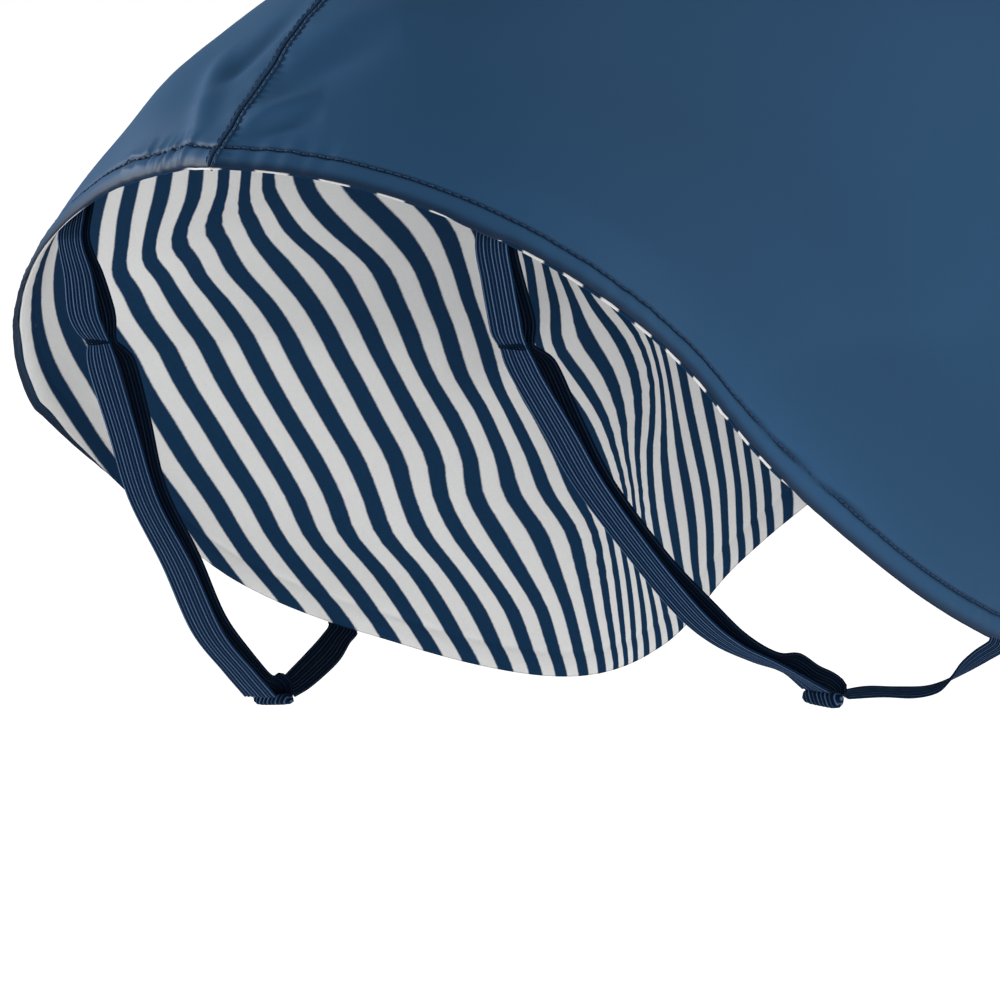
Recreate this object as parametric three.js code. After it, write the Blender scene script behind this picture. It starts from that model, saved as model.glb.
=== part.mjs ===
/**
 * Dog raincoat in the shape it has when worn, with nobody in it.
 *
 * The coat is a smooth coated shell with a striped lining, sewn together round the hem. Two side panels
 * meet at the centre back seam. They cover the rump and the thighs, rise at the flanks, and join a belly
 * panel that closes the coat under the chest. Each side has an elastic for a hind leg.
 *
 * Frame: millimetres, +X towards the dog's head, +Y towards its left, +Z up. The origin is on the inner
 * face of the lining at the middle of the back, where the wearer's back holds the coat.
 */
import * as THREE from 'three';

// ---- Driving sizes, millimetres ----
const SHELL_WALL = 1.2;
const LINING_WALL = 1.0;
const SEAM_GAP = 0.3;
const ELASTIC_WIDTH = 10;
const ELASTIC_WALL = 1.0;
const LAYER_PITCH = 1.9;
const KEEPER = { length: 11, height: 3.6, depth: 4 };

const LEFT = 1;
const RIGHT = -1;

/**
 * Sections of the coat from the rump hem to the neck, for the outer face of the shell.
 * x, z: the section's place on the centre back seam. halfWidth: at its widest. rise: height from the
 * widest place up to the seam. under: height from the widest place down to the belly line. lean: how far
 * the section moves forward for each millimetre it drops. flare: how much the thigh flap stands off.
 * edge: angle in degrees, from the centre back round to the lower hem or the belly seam.
 */
const SECTIONS = [
  { x: -250, z: -92.5, halfWidth: 111, rise: 64, under: 120, lean: 0.95, flare: 0, edge: 93.5 },
  { x: -230, z: -73, halfWidth: 107.5, rise: 72, under: 140, lean: 0.95, flare: 35, edge: 113 },
  { x: -200, z: -48.5, halfWidth: 98, rise: 90, under: 150, lean: 0.92, flare: 47, edge: 122.5 },
  { x: -160, z: -32.5, halfWidth: 90, rise: 106, under: 160, lean: 0.88, flare: 39, edge: 123.5 },
  { x: -110, z: -17.5, halfWidth: 86, rise: 116, under: 165, lean: 0.75, flare: 20, edge: 121.5 },
  { x: -50, z: -4.5, halfWidth: 84, rise: 118, under: 165, lean: 0.6, flare: 6, edge: 118 },
  { x: 10, z: 3.5, halfWidth: 88, rise: 115, under: 150, lean: 0.5, flare: 2, edge: 118.5 },
  { x: 70, z: 5.5, halfWidth: 103, rise: 114, under: 136, lean: 0.4, flare: 0, edge: 117.5 },
  { x: 120, z: 6.5, halfWidth: 110, rise: 115, under: 134, lean: 0.35, flare: 0, edge: 117 },
  { x: 175, z: 8.5, halfWidth: 104, rise: 106, under: 124, lean: 0.36, flare: 0, edge: 117 },
  { x: 215, z: 10.5, halfWidth: 84, rise: 88, under: 104, lean: 0.42, flare: 0, edge: 117 },
  { x: 245, z: 15.5, halfWidth: 66, rise: 70, under: 72, lean: 0.45, flare: 0, edge: 117 },
];
const NECK = SECTIONS.length - 1;
const FLANK = 7;

// Roundness of the back: 2 is an ellipse, less is more pointed along the seam.
const BACK_ROUNDNESS = 1.86;
// The rump hem bows forward on each side of the seam, by this much, fading out over these sections.
const RUMP_BOW = { forward: 10, sections: 3 };

// Front leg opening, in sections along the coat and degrees round it from the belly seam.
const ARMHOLE = { middle: 9.15, reach: 0.85, up: 20, down: 17 };

// Steps along the coat, closest where the rump, the waist fold and the leg opening curve most.
const SPANS = [
  { to: 1, steps: 5 },
  { to: 4.3, steps: 9 },
  { to: 5.6, steps: 8 },
  { to: FLANK, steps: 3 },
  { to: ARMHOLE.middle - ARMHOLE.reach, steps: 3 },
];
const ARMHOLE_STEPS = 8;
const COLLAR_STEPS = 3;
const SIDE_STEPS = 12;
const BELLY_STEPS = 12;

/** Largest folds of the lining, as soft ridges towards the inside, placed in side view. */
const FOLDS = [
  { fromX: 34, fromZ: -70, toX: 34, toZ: -232, width: 13, height: 6 },
  { fromX: -105, fromZ: -88, toX: -168, toZ: -128, width: 16, height: 3 },
  { fromX: 2, fromZ: -118, toX: -52, toZ: -186, width: 18, height: 3 },
  { fromX: -20, fromZ: -40, toX: 110, toZ: -60, width: 22, height: 4 },
];

/**
 * Route of a hind leg elastic on the left side. The upper part is double and hangs from the rump hem to
 * the keeper; the lower part returns to the thigh hem. turn: degrees the band is turned about its route.
 */
const UPPER_ROUTE = [
  { x: -221, y: 66.5, z: -109.5, turn: 0 },
  { x: -214, y: 66, z: -130, turn: 0 },
  { x: -210, y: 66, z: -138, turn: 0 },
  { x: -204, y: 67, z: -146, turn: 0 },
  { x: -195, y: 69, z: -160, turn: 0 },
  { x: -184, y: 71, z: -177, turn: 0 },
  { x: -167, y: 74, z: -194, turn: 0 },
  { x: -146, y: 79, z: -211, turn: 0 },
  { x: -127, y: 84, z: -221, turn: 0 },
  { x: -112, y: 88, z: -226, turn: 0 },
];
const LOWER_ROUTE = [
  { x: -106.7, y: 89, z: -229.7, turn: 0 },
  { x: -96, y: 93, z: -228, turn: 0 },
  { x: -86, y: 97, z: -226, turn: 10 },
  { x: -75, y: 101.5, z: -222.5, turn: 35 },
  { x: -63, y: 106.5, z: -215.6, turn: 55 },
];
const UPPER_STEPS = 14;
const LOWER_STEPS = 7;

/** Value of one column between the sections, on a smooth curve through them. */
function between(column, station) {
  const at = THREE.MathUtils.clamp(station, 0, NECK);
  const index = Math.min(Math.floor(at), NECK - 1);
  const value = (i) => {
    if (i < 0) return 2 * SECTIONS[0][column] - SECTIONS[1][column];
    if (i > NECK) return 2 * SECTIONS[NECK][column] - SECTIONS[NECK - 1][column];
    return SECTIONS[i][column];
  };
  const t = at - index;
  const [a, b, c, d] = [value(index - 1), value(index), value(index + 1), value(index + 2)];
  const linear = (c - a) * t;
  const square = (2 * a - 5 * b + 4 * c - d) * t * t;
  const cube = (3 * b - a - 3 * c + d) * t * t * t;
  return (2 * b + linear + square + cube) / 2;
}

/** Point of the shell's outer face: angle 0 is the centre back, pi the belly, past pi the right side. */
function outerPoint(station, angle) {
  const cosine = Math.cos(angle);
  const sine = Math.sin(angle);
  const halfWidth = between('halfWidth', station);
  const rise = between('rise', station);
  let drop = rise * (1 - cosine);
  let y = halfWidth * (1 - Math.abs(cosine) ** BACK_ROUNDNESS) ** (1 / BACK_ROUNDNESS) * Math.sign(sine);
  if (cosine < 0) {
    drop = rise - between('under', station) * cosine;
    y = halfWidth * sine - between('flare', station) * cosine * sine;
  }
  const fade = Math.max(0, 1 - station / RUMP_BOW.sections) ** 2;
  const bow = RUMP_BOW.forward * fade * (1 - (1 - Math.abs(sine)) ** 3);
  const x = between('x', station) + bow + between('lean', station) * drop;
  return new THREE.Vector3(x, y, between('z', station) - drop);
}

/** Outward direction of the cloth at a place. */
function outward(station, angle) {
  const step = 0.01;
  const forward = outerPoint(station + step, angle).sub(outerPoint(station - step, angle));
  const round = outerPoint(station, angle + step).sub(outerPoint(station, angle - step));
  return round.cross(forward).normalize();
}

/** Height of the lining's folds at a point, from its place in side view. */
function foldHeight(point) {
  let height = 0;
  for (const fold of FOLDS) {
    const start = new THREE.Vector2(fold.fromX, fold.fromZ);
    const run = new THREE.Vector2(fold.toX, fold.toZ).sub(start);
    const offset = new THREE.Vector2(point.x, point.z).sub(start);
    const along = offset.dot(run) / run.lengthSq();
    const across = offset.cross(run) / run.length() / fold.width;
    const taper = Math.sin(Math.PI * THREE.MathUtils.clamp(along, 0, 1));
    height += fold.height * taper * Math.exp(-across * across);
  }
  return height;
}

/** Place in a layer of the coat: depth is measured inwards from the shell's outer face. */
function layerPoint(station, angle, depth, folded) {
  const point = outerPoint(station, angle);
  const inwards = depth + (folded ? foldHeight(point) : 0);
  return point.addScaledVector(outward(station, angle), -inwards);
}

/** Part of the leg opening's height, from 0 at its ends to 1 at its middle. */
function armholeNotch(station) {
  const offset = (station - ARMHOLE.middle) / ARMHOLE.reach;
  return Math.sqrt(Math.max(0, 1 - offset * offset));
}

/** Stations along the coat from the rump, or from the flank, to the neck. */
function stations(first) {
  const list = [0];
  for (const span of SPANS) {
    const start = list[list.length - 1];
    for (let i = 1; i <= span.steps; i += 1) {
      list.push(start + ((span.to - start) * i) / span.steps);
    }
  }
  for (let i = 1; i <= ARMHOLE_STEPS; i += 1) {
    list.push(ARMHOLE.middle - ARMHOLE.reach * Math.cos((Math.PI * i) / ARMHOLE_STEPS));
  }
  const start = list[list.length - 1];
  for (let i = 1; i <= COLLAR_STEPS; i += 1) {
    list.push(start + ((NECK - start) * i) / COLLAR_STEPS);
  }
  return list.filter((station) => station >= first - 0.001);
}

/** Closed wall between two faces, each a grid of points with the same rows and columns. */
function wall(outer, inner) {
  const rows = outer.length;
  const columns = outer[0].length;
  const points = [...outer.flat(), ...inner.flat()];
  const index = (layer, row, column) => layer * rows * columns + row * columns + column;
  const faces = [];
  const quad = (a, b, c, d) => faces.push(a, b, c, a, c, d);
  for (let i = 0; i + 1 < rows; i += 1) {
    for (let j = 0; j + 1 < columns; j += 1) {
      quad(index(0, i, j), index(0, i + 1, j), index(0, i + 1, j + 1), index(0, i, j + 1));
      quad(index(1, i, j), index(1, i, j + 1), index(1, i + 1, j + 1), index(1, i + 1, j));
    }
    const last = columns - 1;
    quad(index(0, i, 0), index(1, i, 0), index(1, i + 1, 0), index(0, i + 1, 0));
    quad(index(0, i, last), index(0, i + 1, last), index(1, i + 1, last), index(1, i, last));
  }
  for (let j = 0; j + 1 < columns; j += 1) {
    const last = rows - 1;
    quad(index(0, 0, j), index(0, 0, j + 1), index(1, 0, j + 1), index(1, 0, j));
    quad(index(0, last, j), index(1, last, j), index(1, last, j + 1), index(0, last, j + 1));
  }
  return closedGeometry(points, faces);
}

/** Geometry of a closed body, with its faces turned to point out. */
function closedGeometry(points, faces) {
  let volume = 0;
  for (let i = 0; i < faces.length; i += 3) {
    const [a, b, c] = [points[faces[i]], points[faces[i + 1]], points[faces[i + 2]]];
    volume += a.dot(b.clone().cross(c));
  }
  if (volume < 0) faces.reverse();
  const geometry = new THREE.BufferGeometry().setFromPoints(points);
  geometry.setIndex(faces);
  geometry.computeVertexNormals();
  return geometry;
}

/** Both faces of a side panel, from the centre back seam down to its edge. */
function sidePanel(side, depth, thickness, folded) {
  const face = (at) =>
    stations(0).map((station) => {
      const edge = THREE.MathUtils.degToRad(between('edge', station) - ARMHOLE.up * armholeNotch(station));
      return Array.from({ length: SIDE_STEPS + 1 }, (_, j) => {
        const point = layerPoint(station, (edge * j) / SIDE_STEPS, at, folded);
        point.y = (point.y + SEAM_GAP / 2) * side;
        return point;
      });
    });
  return wall(face(depth), face(depth + thickness));
}

/** The belly panel, from the left belly seam under the chest to the right one. */
function bellyPanel() {
  const face = (at) =>
    stations(FLANK).map((station) => {
      const gap = (SEAM_GAP * 2) / between('halfWidth', station);
      const down = between('edge', station) + ARMHOLE.down * armholeNotch(station);
      const edge = THREE.MathUtils.degToRad(down) + gap;
      const sweep = 2 * (Math.PI - edge);
      return Array.from({ length: BELLY_STEPS + 1 }, (_, j) =>
        layerPoint(station, edge + (sweep * j) / BELLY_STEPS, at, false));
    });
  return wall(face(0), face(SHELL_WALL));
}

/** Flat elastic along a route, lifted off it by some millimetres along the band's own face. */
function band(route, side, steps, lift) {
  const place = (row) => new THREE.Vector3(row.x, row.y * side, row.z);
  const curve = new THREE.CatmullRomCurve3(route.map(place));
  const outer = [];
  const inner = [];
  for (let i = 0; i <= steps; i += 1) {
    const share = i / steps;
    const row = Math.min(Math.floor(share * (route.length - 1)), route.length - 2);
    const part = share * (route.length - 1) - row;
    const turn = THREE.MathUtils.lerp(route[row].turn, route[row + 1].turn, part);
    const tangent = curve.getTangent(share);
    const across = new THREE.Vector3(0, side, 0).addScaledVector(tangent, -tangent.y * side).normalize();
    across.applyAxisAngle(tangent, -side * THREE.MathUtils.degToRad(turn));
    const faceUp = new THREE.Vector3().crossVectors(tangent, across).multiplyScalar(-side).normalize();
    const centre = curve.getPoint(share).addScaledVector(faceUp, lift);
    const corner = (widthways, upwards) =>
      centre.clone()
        .addScaledVector(across, widthways * ELASTIC_WIDTH / 2)
        .addScaledVector(faceUp, upwards * ELASTIC_WALL / 2);
    outer.push([corner(-1, 1), corner(1, 1)]);
    inner.push([corner(-1, -1), corner(1, -1)]);
  }
  return wall(outer, inner);
}

/** Folded end of the elastic that holds the double part and the return together: a flat pill. */
function keeperGeometry() {
  const half = (KEEPER.length - KEEPER.height) / 2;
  const radius = KEEPER.height / 2;
  const outline = new THREE.Shape();
  outline.absarc(half, 0, radius, -Math.PI / 2, Math.PI / 2, false);
  outline.absarc(-half, 0, radius, Math.PI / 2, Math.PI * 1.5, false);
  const geometry = new THREE.ExtrudeGeometry(outline, {
    depth: KEEPER.depth,
    bevelEnabled: false,
    curveSegments: 6,
  });
  return geometry.translate(0, 0, -KEEPER.depth / 2);
}

/** One named piece with its own material. */
function piece(name, geometry, color, roughness) {
  const material = new THREE.MeshStandardMaterial({ color, roughness, metalness: 0 });
  const mesh = new THREE.Mesh(geometry, material);
  mesh.name = name;
  return mesh;
}

const SHELL_COLOR = 0x2f4f6e;
const LINING_COLOR = 0xc8c8c6;
const ELASTIC_COLOR = 0x24406a;

/** Elastic of one hind leg. */
function legElastic(side, label) {
  const group = new THREE.Group();
  const end = UPPER_ROUTE[UPPER_ROUTE.length - 1];
  const keeper = piece(`elastic_keeper_${label}`, keeperGeometry(), ELASTIC_COLOR, 0.8);
  keeper.rotation.set(Math.PI / 2, 0, Math.PI / 2, 'ZXY');
  keeper.position.set(end.x + 1, end.y * side, end.z - 4.6);
  group.add(
    piece(`elastic_front_${label}`, band(UPPER_ROUTE, side, UPPER_STEPS, 0), ELASTIC_COLOR, 0.8),
    piece(`elastic_back_${label}`, band(UPPER_ROUTE, side, UPPER_STEPS, LAYER_PITCH), ELASTIC_COLOR, 0.8),
    keeper,
    piece(`elastic_return_${label}`, band(LOWER_ROUTE, side, LOWER_STEPS, 0), ELASTIC_COLOR, 0.8),
  );
  return group;
}

/** One side of the coat: shell, lining and leg elastic. */
function coatSide(side, label) {
  const group = new THREE.Group();
  const liningDepth = SHELL_WALL + SEAM_GAP;
  group.add(
    piece(`shell_${label}`, sidePanel(side, 0, SHELL_WALL, false), SHELL_COLOR, 0.45),
    piece(`lining_${label}`, sidePanel(side, liningDepth, LINING_WALL, true), LINING_COLOR, 0.85),
    legElastic(side, label),
  );
  return group;
}

const coat = new THREE.Group();
coat.add(
  coatSide(LEFT, 'left'),
  coatSide(RIGHT, 'right'),
  piece('shell_belly', bellyPanel(), SHELL_COLOR, 0.45),
);

export default coat;
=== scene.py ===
"""Dog raincoat: the looks of a hollow, worn coat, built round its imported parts.

The coat is a smooth coated shell with a striped jersey lining. Two side panels meet at the centre back
seam, a belly panel closes the coat under the chest, and each side has a ribbed elastic for a hind leg.

The frame is the part's own: +X towards the dog's head, +Y towards its left, +Z up, with the origin on the
middle of the wearer's back. Sizes in the tables are millimetres, and MM turns them into the metres of the
meshes. A station counts the coat's sections from the rump hem to the neck, and an angle goes round it
from the centre back seam to the belly.
"""

import logging
import math
from dataclasses import dataclass, replace
from enum import Enum
from typing import Optional, Sequence

import bpy
import numpy as np
from mathutils import Matrix, Vector
from mathutils.kdtree import KDTree


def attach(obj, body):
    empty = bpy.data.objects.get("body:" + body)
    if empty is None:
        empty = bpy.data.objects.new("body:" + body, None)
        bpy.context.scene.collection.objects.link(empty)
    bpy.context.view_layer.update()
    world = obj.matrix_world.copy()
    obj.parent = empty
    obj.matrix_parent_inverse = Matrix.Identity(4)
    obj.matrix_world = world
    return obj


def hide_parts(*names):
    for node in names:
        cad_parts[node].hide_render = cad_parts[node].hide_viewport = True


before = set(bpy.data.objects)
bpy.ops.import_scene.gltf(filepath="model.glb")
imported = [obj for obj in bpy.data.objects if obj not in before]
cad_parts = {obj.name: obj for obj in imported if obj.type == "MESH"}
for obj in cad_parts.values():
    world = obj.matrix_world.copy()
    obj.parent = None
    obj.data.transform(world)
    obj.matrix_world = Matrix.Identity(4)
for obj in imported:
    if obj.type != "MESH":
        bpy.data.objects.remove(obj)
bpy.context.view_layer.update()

MM = 0.001
TINY = 1e-12
log = logging.getLogger("dog_raincoat")


class Side(Enum):
    """A side of the coat, as the sign of its Y."""

    LEFT = 1
    RIGHT = -1

    @property
    def label(self) -> str:
        """The side's name in lower case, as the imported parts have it."""
        return self.name.lower()


class Outlook(Enum):
    """The view that a fold's ends are placed in, as the two axes that it shows."""

    SIDE = (0, 2)
    TOP = (0, 1)


class Border(Enum):
    """A border of a panel, as the rows and columns of its grid that lie on it."""

    RUMP = (0, slice(None))
    NECK = (-1, slice(None))
    EDGE = (slice(None), -1)
    OTHER_EDGE = (slice(None), 0)

    @property
    def backwards(self) -> bool:
        """Whether its points run against the way round the panel."""
        return self in (Border.NECK, Border.OTHER_EDGE)


class Slot(Enum):
    """A material slot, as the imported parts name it."""

    SHELL = "shell"
    LINING = "lining"
    ELASTIC = "elastic"


# ---------------------------------------------------------------------------------------------
# Tables of the coat's form
# ---------------------------------------------------------------------------------------------


@dataclass(frozen=True)
class Section:
    """One section of the coat's outer face, in millimetres and degrees.

    x and z place it on the centre back seam. rise is the height from the widest place up to the seam,
    and under from there down to the belly line. lean is how far the section moves forward for each
    millimetre it drops, flare how much the thigh flap stands off, and edge the angle of the lower hem.
    """

    x: float
    z: float
    half_width: float
    rise: float
    under: float
    lean: float
    flare: float
    edge: float


SECTIONS = (
    Section(x=-250, z=-92.5, half_width=111, rise=64, under=120, lean=0.95, flare=0, edge=93.5),
    Section(x=-230, z=-73, half_width=107.5, rise=72, under=140, lean=0.95, flare=35, edge=113),
    Section(x=-200, z=-48.5, half_width=98, rise=90, under=150, lean=0.92, flare=47, edge=122.5),
    Section(x=-160, z=-32.5, half_width=90, rise=106, under=160, lean=0.88, flare=39, edge=124.3),
    Section(x=-110, z=-17.5, half_width=86, rise=116, under=165, lean=0.75, flare=20, edge=121.8),
    Section(x=-50, z=-4.5, half_width=84, rise=118, under=165, lean=0.6, flare=6, edge=118),
    Section(x=10, z=3.5, half_width=88, rise=115, under=150, lean=0.5, flare=2, edge=118.5),
    Section(x=70, z=5.5, half_width=103, rise=114, under=136, lean=0.4, flare=0, edge=117.5),
    Section(x=120, z=6.5, half_width=110, rise=115, under=134, lean=0.35, flare=0, edge=117),
    Section(x=175, z=8.5, half_width=104, rise=106, under=124, lean=0.36, flare=0, edge=117),
    Section(x=215, z=10.5, half_width=84, rise=88, under=104, lean=0.42, flare=0, edge=117),
    Section(x=245, z=15.5, half_width=66, rise=70, under=72, lean=0.45, flare=0, edge=117),
)
NECK = len(SECTIONS) - 1
FLANK = 7


@dataclass(frozen=True)
class Armhole:
    """Front leg opening, in stations along the coat and degrees up and down from the belly seam."""

    middle: float = 9.15
    reach: float = 0.85
    up: float = 20.0
    down: float = 17.0

    def notch(self, station: np.ndarray) -> np.ndarray:
        """Part of the opening's height at a station, from 0 at its ends to 1 at its middle."""
        offset = (station - self.middle) / self.reach
        return np.sqrt(np.clip(1 - offset * offset, 0, 1))


@dataclass(frozen=True)
class Fold:
    """A soft ridge (or a trough, where its height is negative) along a straight line in one view.

    The ends are places along the coat, and across it in that view: height, or Y as seen from above.
    """

    start: tuple[float, float]
    end: tuple[float, float]
    width: float
    height: float
    seen: Outlook = Outlook.SIDE

    def relief(self, points: np.ndarray) -> np.ndarray:
        """Height of the fold at each point.

        Args:
            points: places on the cloth, in millimetres.

        Returns:
            The height at each place, in millimetres.
        """
        start = np.array(self.start, float)
        run = np.array(self.end, float) - start
        offset = points[..., list(self.seen.value)] - start
        along = (offset @ run) / (run @ run)
        across = (offset[..., 0] * run[1] - offset[..., 1] * run[0]) / np.hypot(*run) / self.width
        return self.height * np.sin(np.pi * np.clip(along, 0, 1)) * np.exp(-across * across)


# The crease at the waist, where the lining stands in towards the wearer.
WAIST_FOLD = Fold((36, -70), (36, -238), 13, 4.5)

# The pinch near the rump, across which the lining's stripes jog sideways.
PINCH = Fold((-184, -128), (-112, -96), 6.0, 3.6)

# Smaller folds of the lining, as ridges towards the inside.
LINING_FOLDS = (
    Fold((-104, -99), (-168, -122), 7, 1.6),
    Fold((14, -124), (-42, -160), 9, 1.8),
    Fold((-105, -88), (-168, -128), 16, 1.5),
    Fold((2, -118), (-52, -186), 18, 2),
    Fold((-20, -40), (110, -60), 22, 4),
    Fold((-100, -196), (-20, -214), 10, 1.2),
    Fold((58, -140), (70, -206), 9, 1.6),
    Fold((86, -158), (100, -190), 7, 1.4),
)

# Folds of the whole cloth, as ridges towards the outside.
COAT_FOLDS = (
    Fold((-248, 7), (-212, 24), 3.6, 2.5, Outlook.TOP),
    Fold((-230, 19), (-204, 3), 3.8, -2.5, Outlook.TOP),
    Fold((-236, 30), (-196, 50), 11, 2.4, Outlook.TOP),
    Fold((-240, -1), (-226, -18), 2.4, 1.9, Outlook.TOP),
    Fold((-242, -3), (-230, -22), 2.2, -1.6, Outlook.TOP),
    Fold((-233, -3), (-204, -26), 5.5, -2.6, Outlook.TOP),
    Fold((-224, -2), (-192, -30), 7, 2.0, Outlook.TOP),
    Fold((-210, -40), (-130, -78), 16, -1.2, Outlook.TOP),
    Fold((-190, 10), (-120, 40), 18, 1.4, Outlook.TOP),
    Fold((-120, -12), (-40, -52), 20, -1.4, Outlook.TOP),
    Fold((10, 8), (80, 50), 18, 1.3, Outlook.TOP),
    Fold((120, -10), (200, -46), 16, 1.2, Outlook.TOP),
    Fold((-60, -30), (60, -100), 30, 2.0),
    Fold((-150, -70), (-70, -150), 34, 1.8),
    Fold((110, -40), (190, -130), 26, 1.6),
)

# Where short puckers cross the hem band beside the centre back, in millimetres from the seam.
HEM_PUCKERS = (11.5, 15, 19, 22.5, 26.5, 31, 36.5)


def hem_puckers() -> tuple[Fold, ...]:
    """Short ridges that slant across the rump hem, between its edge and its stitches.

    Returns:
        The ridges, to the left of the centre back.
    """
    lean, reach, width, height = 1.6, 7.0, 1.1, 0.85
    edge_slope = 0.33
    folds = []
    for across in HEM_PUCKERS:
        edge = SECTIONS[0].x + edge_slope * across
        start, end = (edge, across + lean), (edge + reach, across - lean)
        folds.append(Fold(start, end, width, height, Outlook.TOP))
    return tuple(folds)


@dataclass(frozen=True)
class StripeRow:
    """Where the guide stripes of the lining cross one height, seen from the side, in millimetres."""

    z: float
    at: tuple[float, ...]


# Which of the lining's stripes the rows place.
GUIDE_STRIPES = (-3, 0, 3, 6, 9, 12, 15, 18, 21, 24)
STRIPE_ROWS = (
    StripeRow(-90, (-237, -190, -149, -122, -74, -30, -14, 31, 71, 96)),
    StripeRow(-100, (-229, -183, -143, -114, -58, -22, -6, 34, 71, 96)),
    StripeRow(-110, (-221, -176, -140, -99, -42, -16, -1, 37, 72, 96)),
    StripeRow(-120, (-212, -168, -130, -80, -35, -10, 6, 40, 72, 96)),
    StripeRow(-130, (-202, -159, -115, -70, -30, -8, 17, 42, 72, 96)),
    StripeRow(-140, (-193, -147, -104, -62, -25, -7, 30, 45, 72, 96)),
    StripeRow(-150, (-183, -136, -93, -52, -20, 5, 36, 48, 72, 95)),
    StripeRow(-160, (-173, -124, -82, -42, -9, 16, 37, 50, 72, 95)),
    StripeRow(-170, (-162, -113, -71, -33, 0, 23, 36, 52, 72, 94)),
    StripeRow(-180, (-149, -102, -62, -28, 7, 28, 37, 54, 72, 94)),
    StripeRow(-190, (-137, -93, -55, -19, 16, 30, 39, 55, 71, 93)),
    StripeRow(-200, (-125, -83, -43, -9, 20, 33, 42, 55, 71, 92)),
    StripeRow(-210, (-113, -72, -34, 0, 23, 35, 45, 56, 70, 92)),
    StripeRow(-220, (-101, -62, -26, 5, 26, 36, 47, 57, 70, 92)),
    StripeRow(-230, (-90, -52, -19, 9, 28, 37, 48, 58, 70, 92)),
)


@dataclass(frozen=True)
class Stop:
    """One place on an elastic's route, as it would lie on the left side.

    across is the direction of the elastic's width there. apart is how far the back layer stands off the
    front one, and tilt how far that layer's width turns up.
    """

    x: float
    y: float
    z: float
    across: tuple[float, float, float] = (0, 1, 0)
    width: float = 10.0
    apart: float = 1.6
    tilt: float = 0.0


ALONG_HEM = (0.958, -0.148, -0.246)
UNDER_RUMP = (0, 0.8, -0.6)


@dataclass(frozen=True)
class LegRoute:
    """The routes of one side's elastic.

    The front layer runs from the rump hem to the knot. The back layer follows it, then goes round its
    own loop into the knot. The return stretch runs from the knot to the thigh hem. tack is the number of
    the stop where both layers are pinched, and slope is how far the knot drops for each unit outwards.
    aside is how far the back layer lies to one side of the front one, and return_shade is the return
    stretch's painted shade, from 0 to 1, which darkens it and dims its rib highlights.
    """

    front: tuple[Stop, ...]
    loop: tuple[Stop, ...]
    return_stretch: tuple[Stop, ...]
    knot: tuple[float, float, float]
    knot_height: float
    aside: float
    slope: float
    return_shade: float
    tack: int = 5


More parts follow.
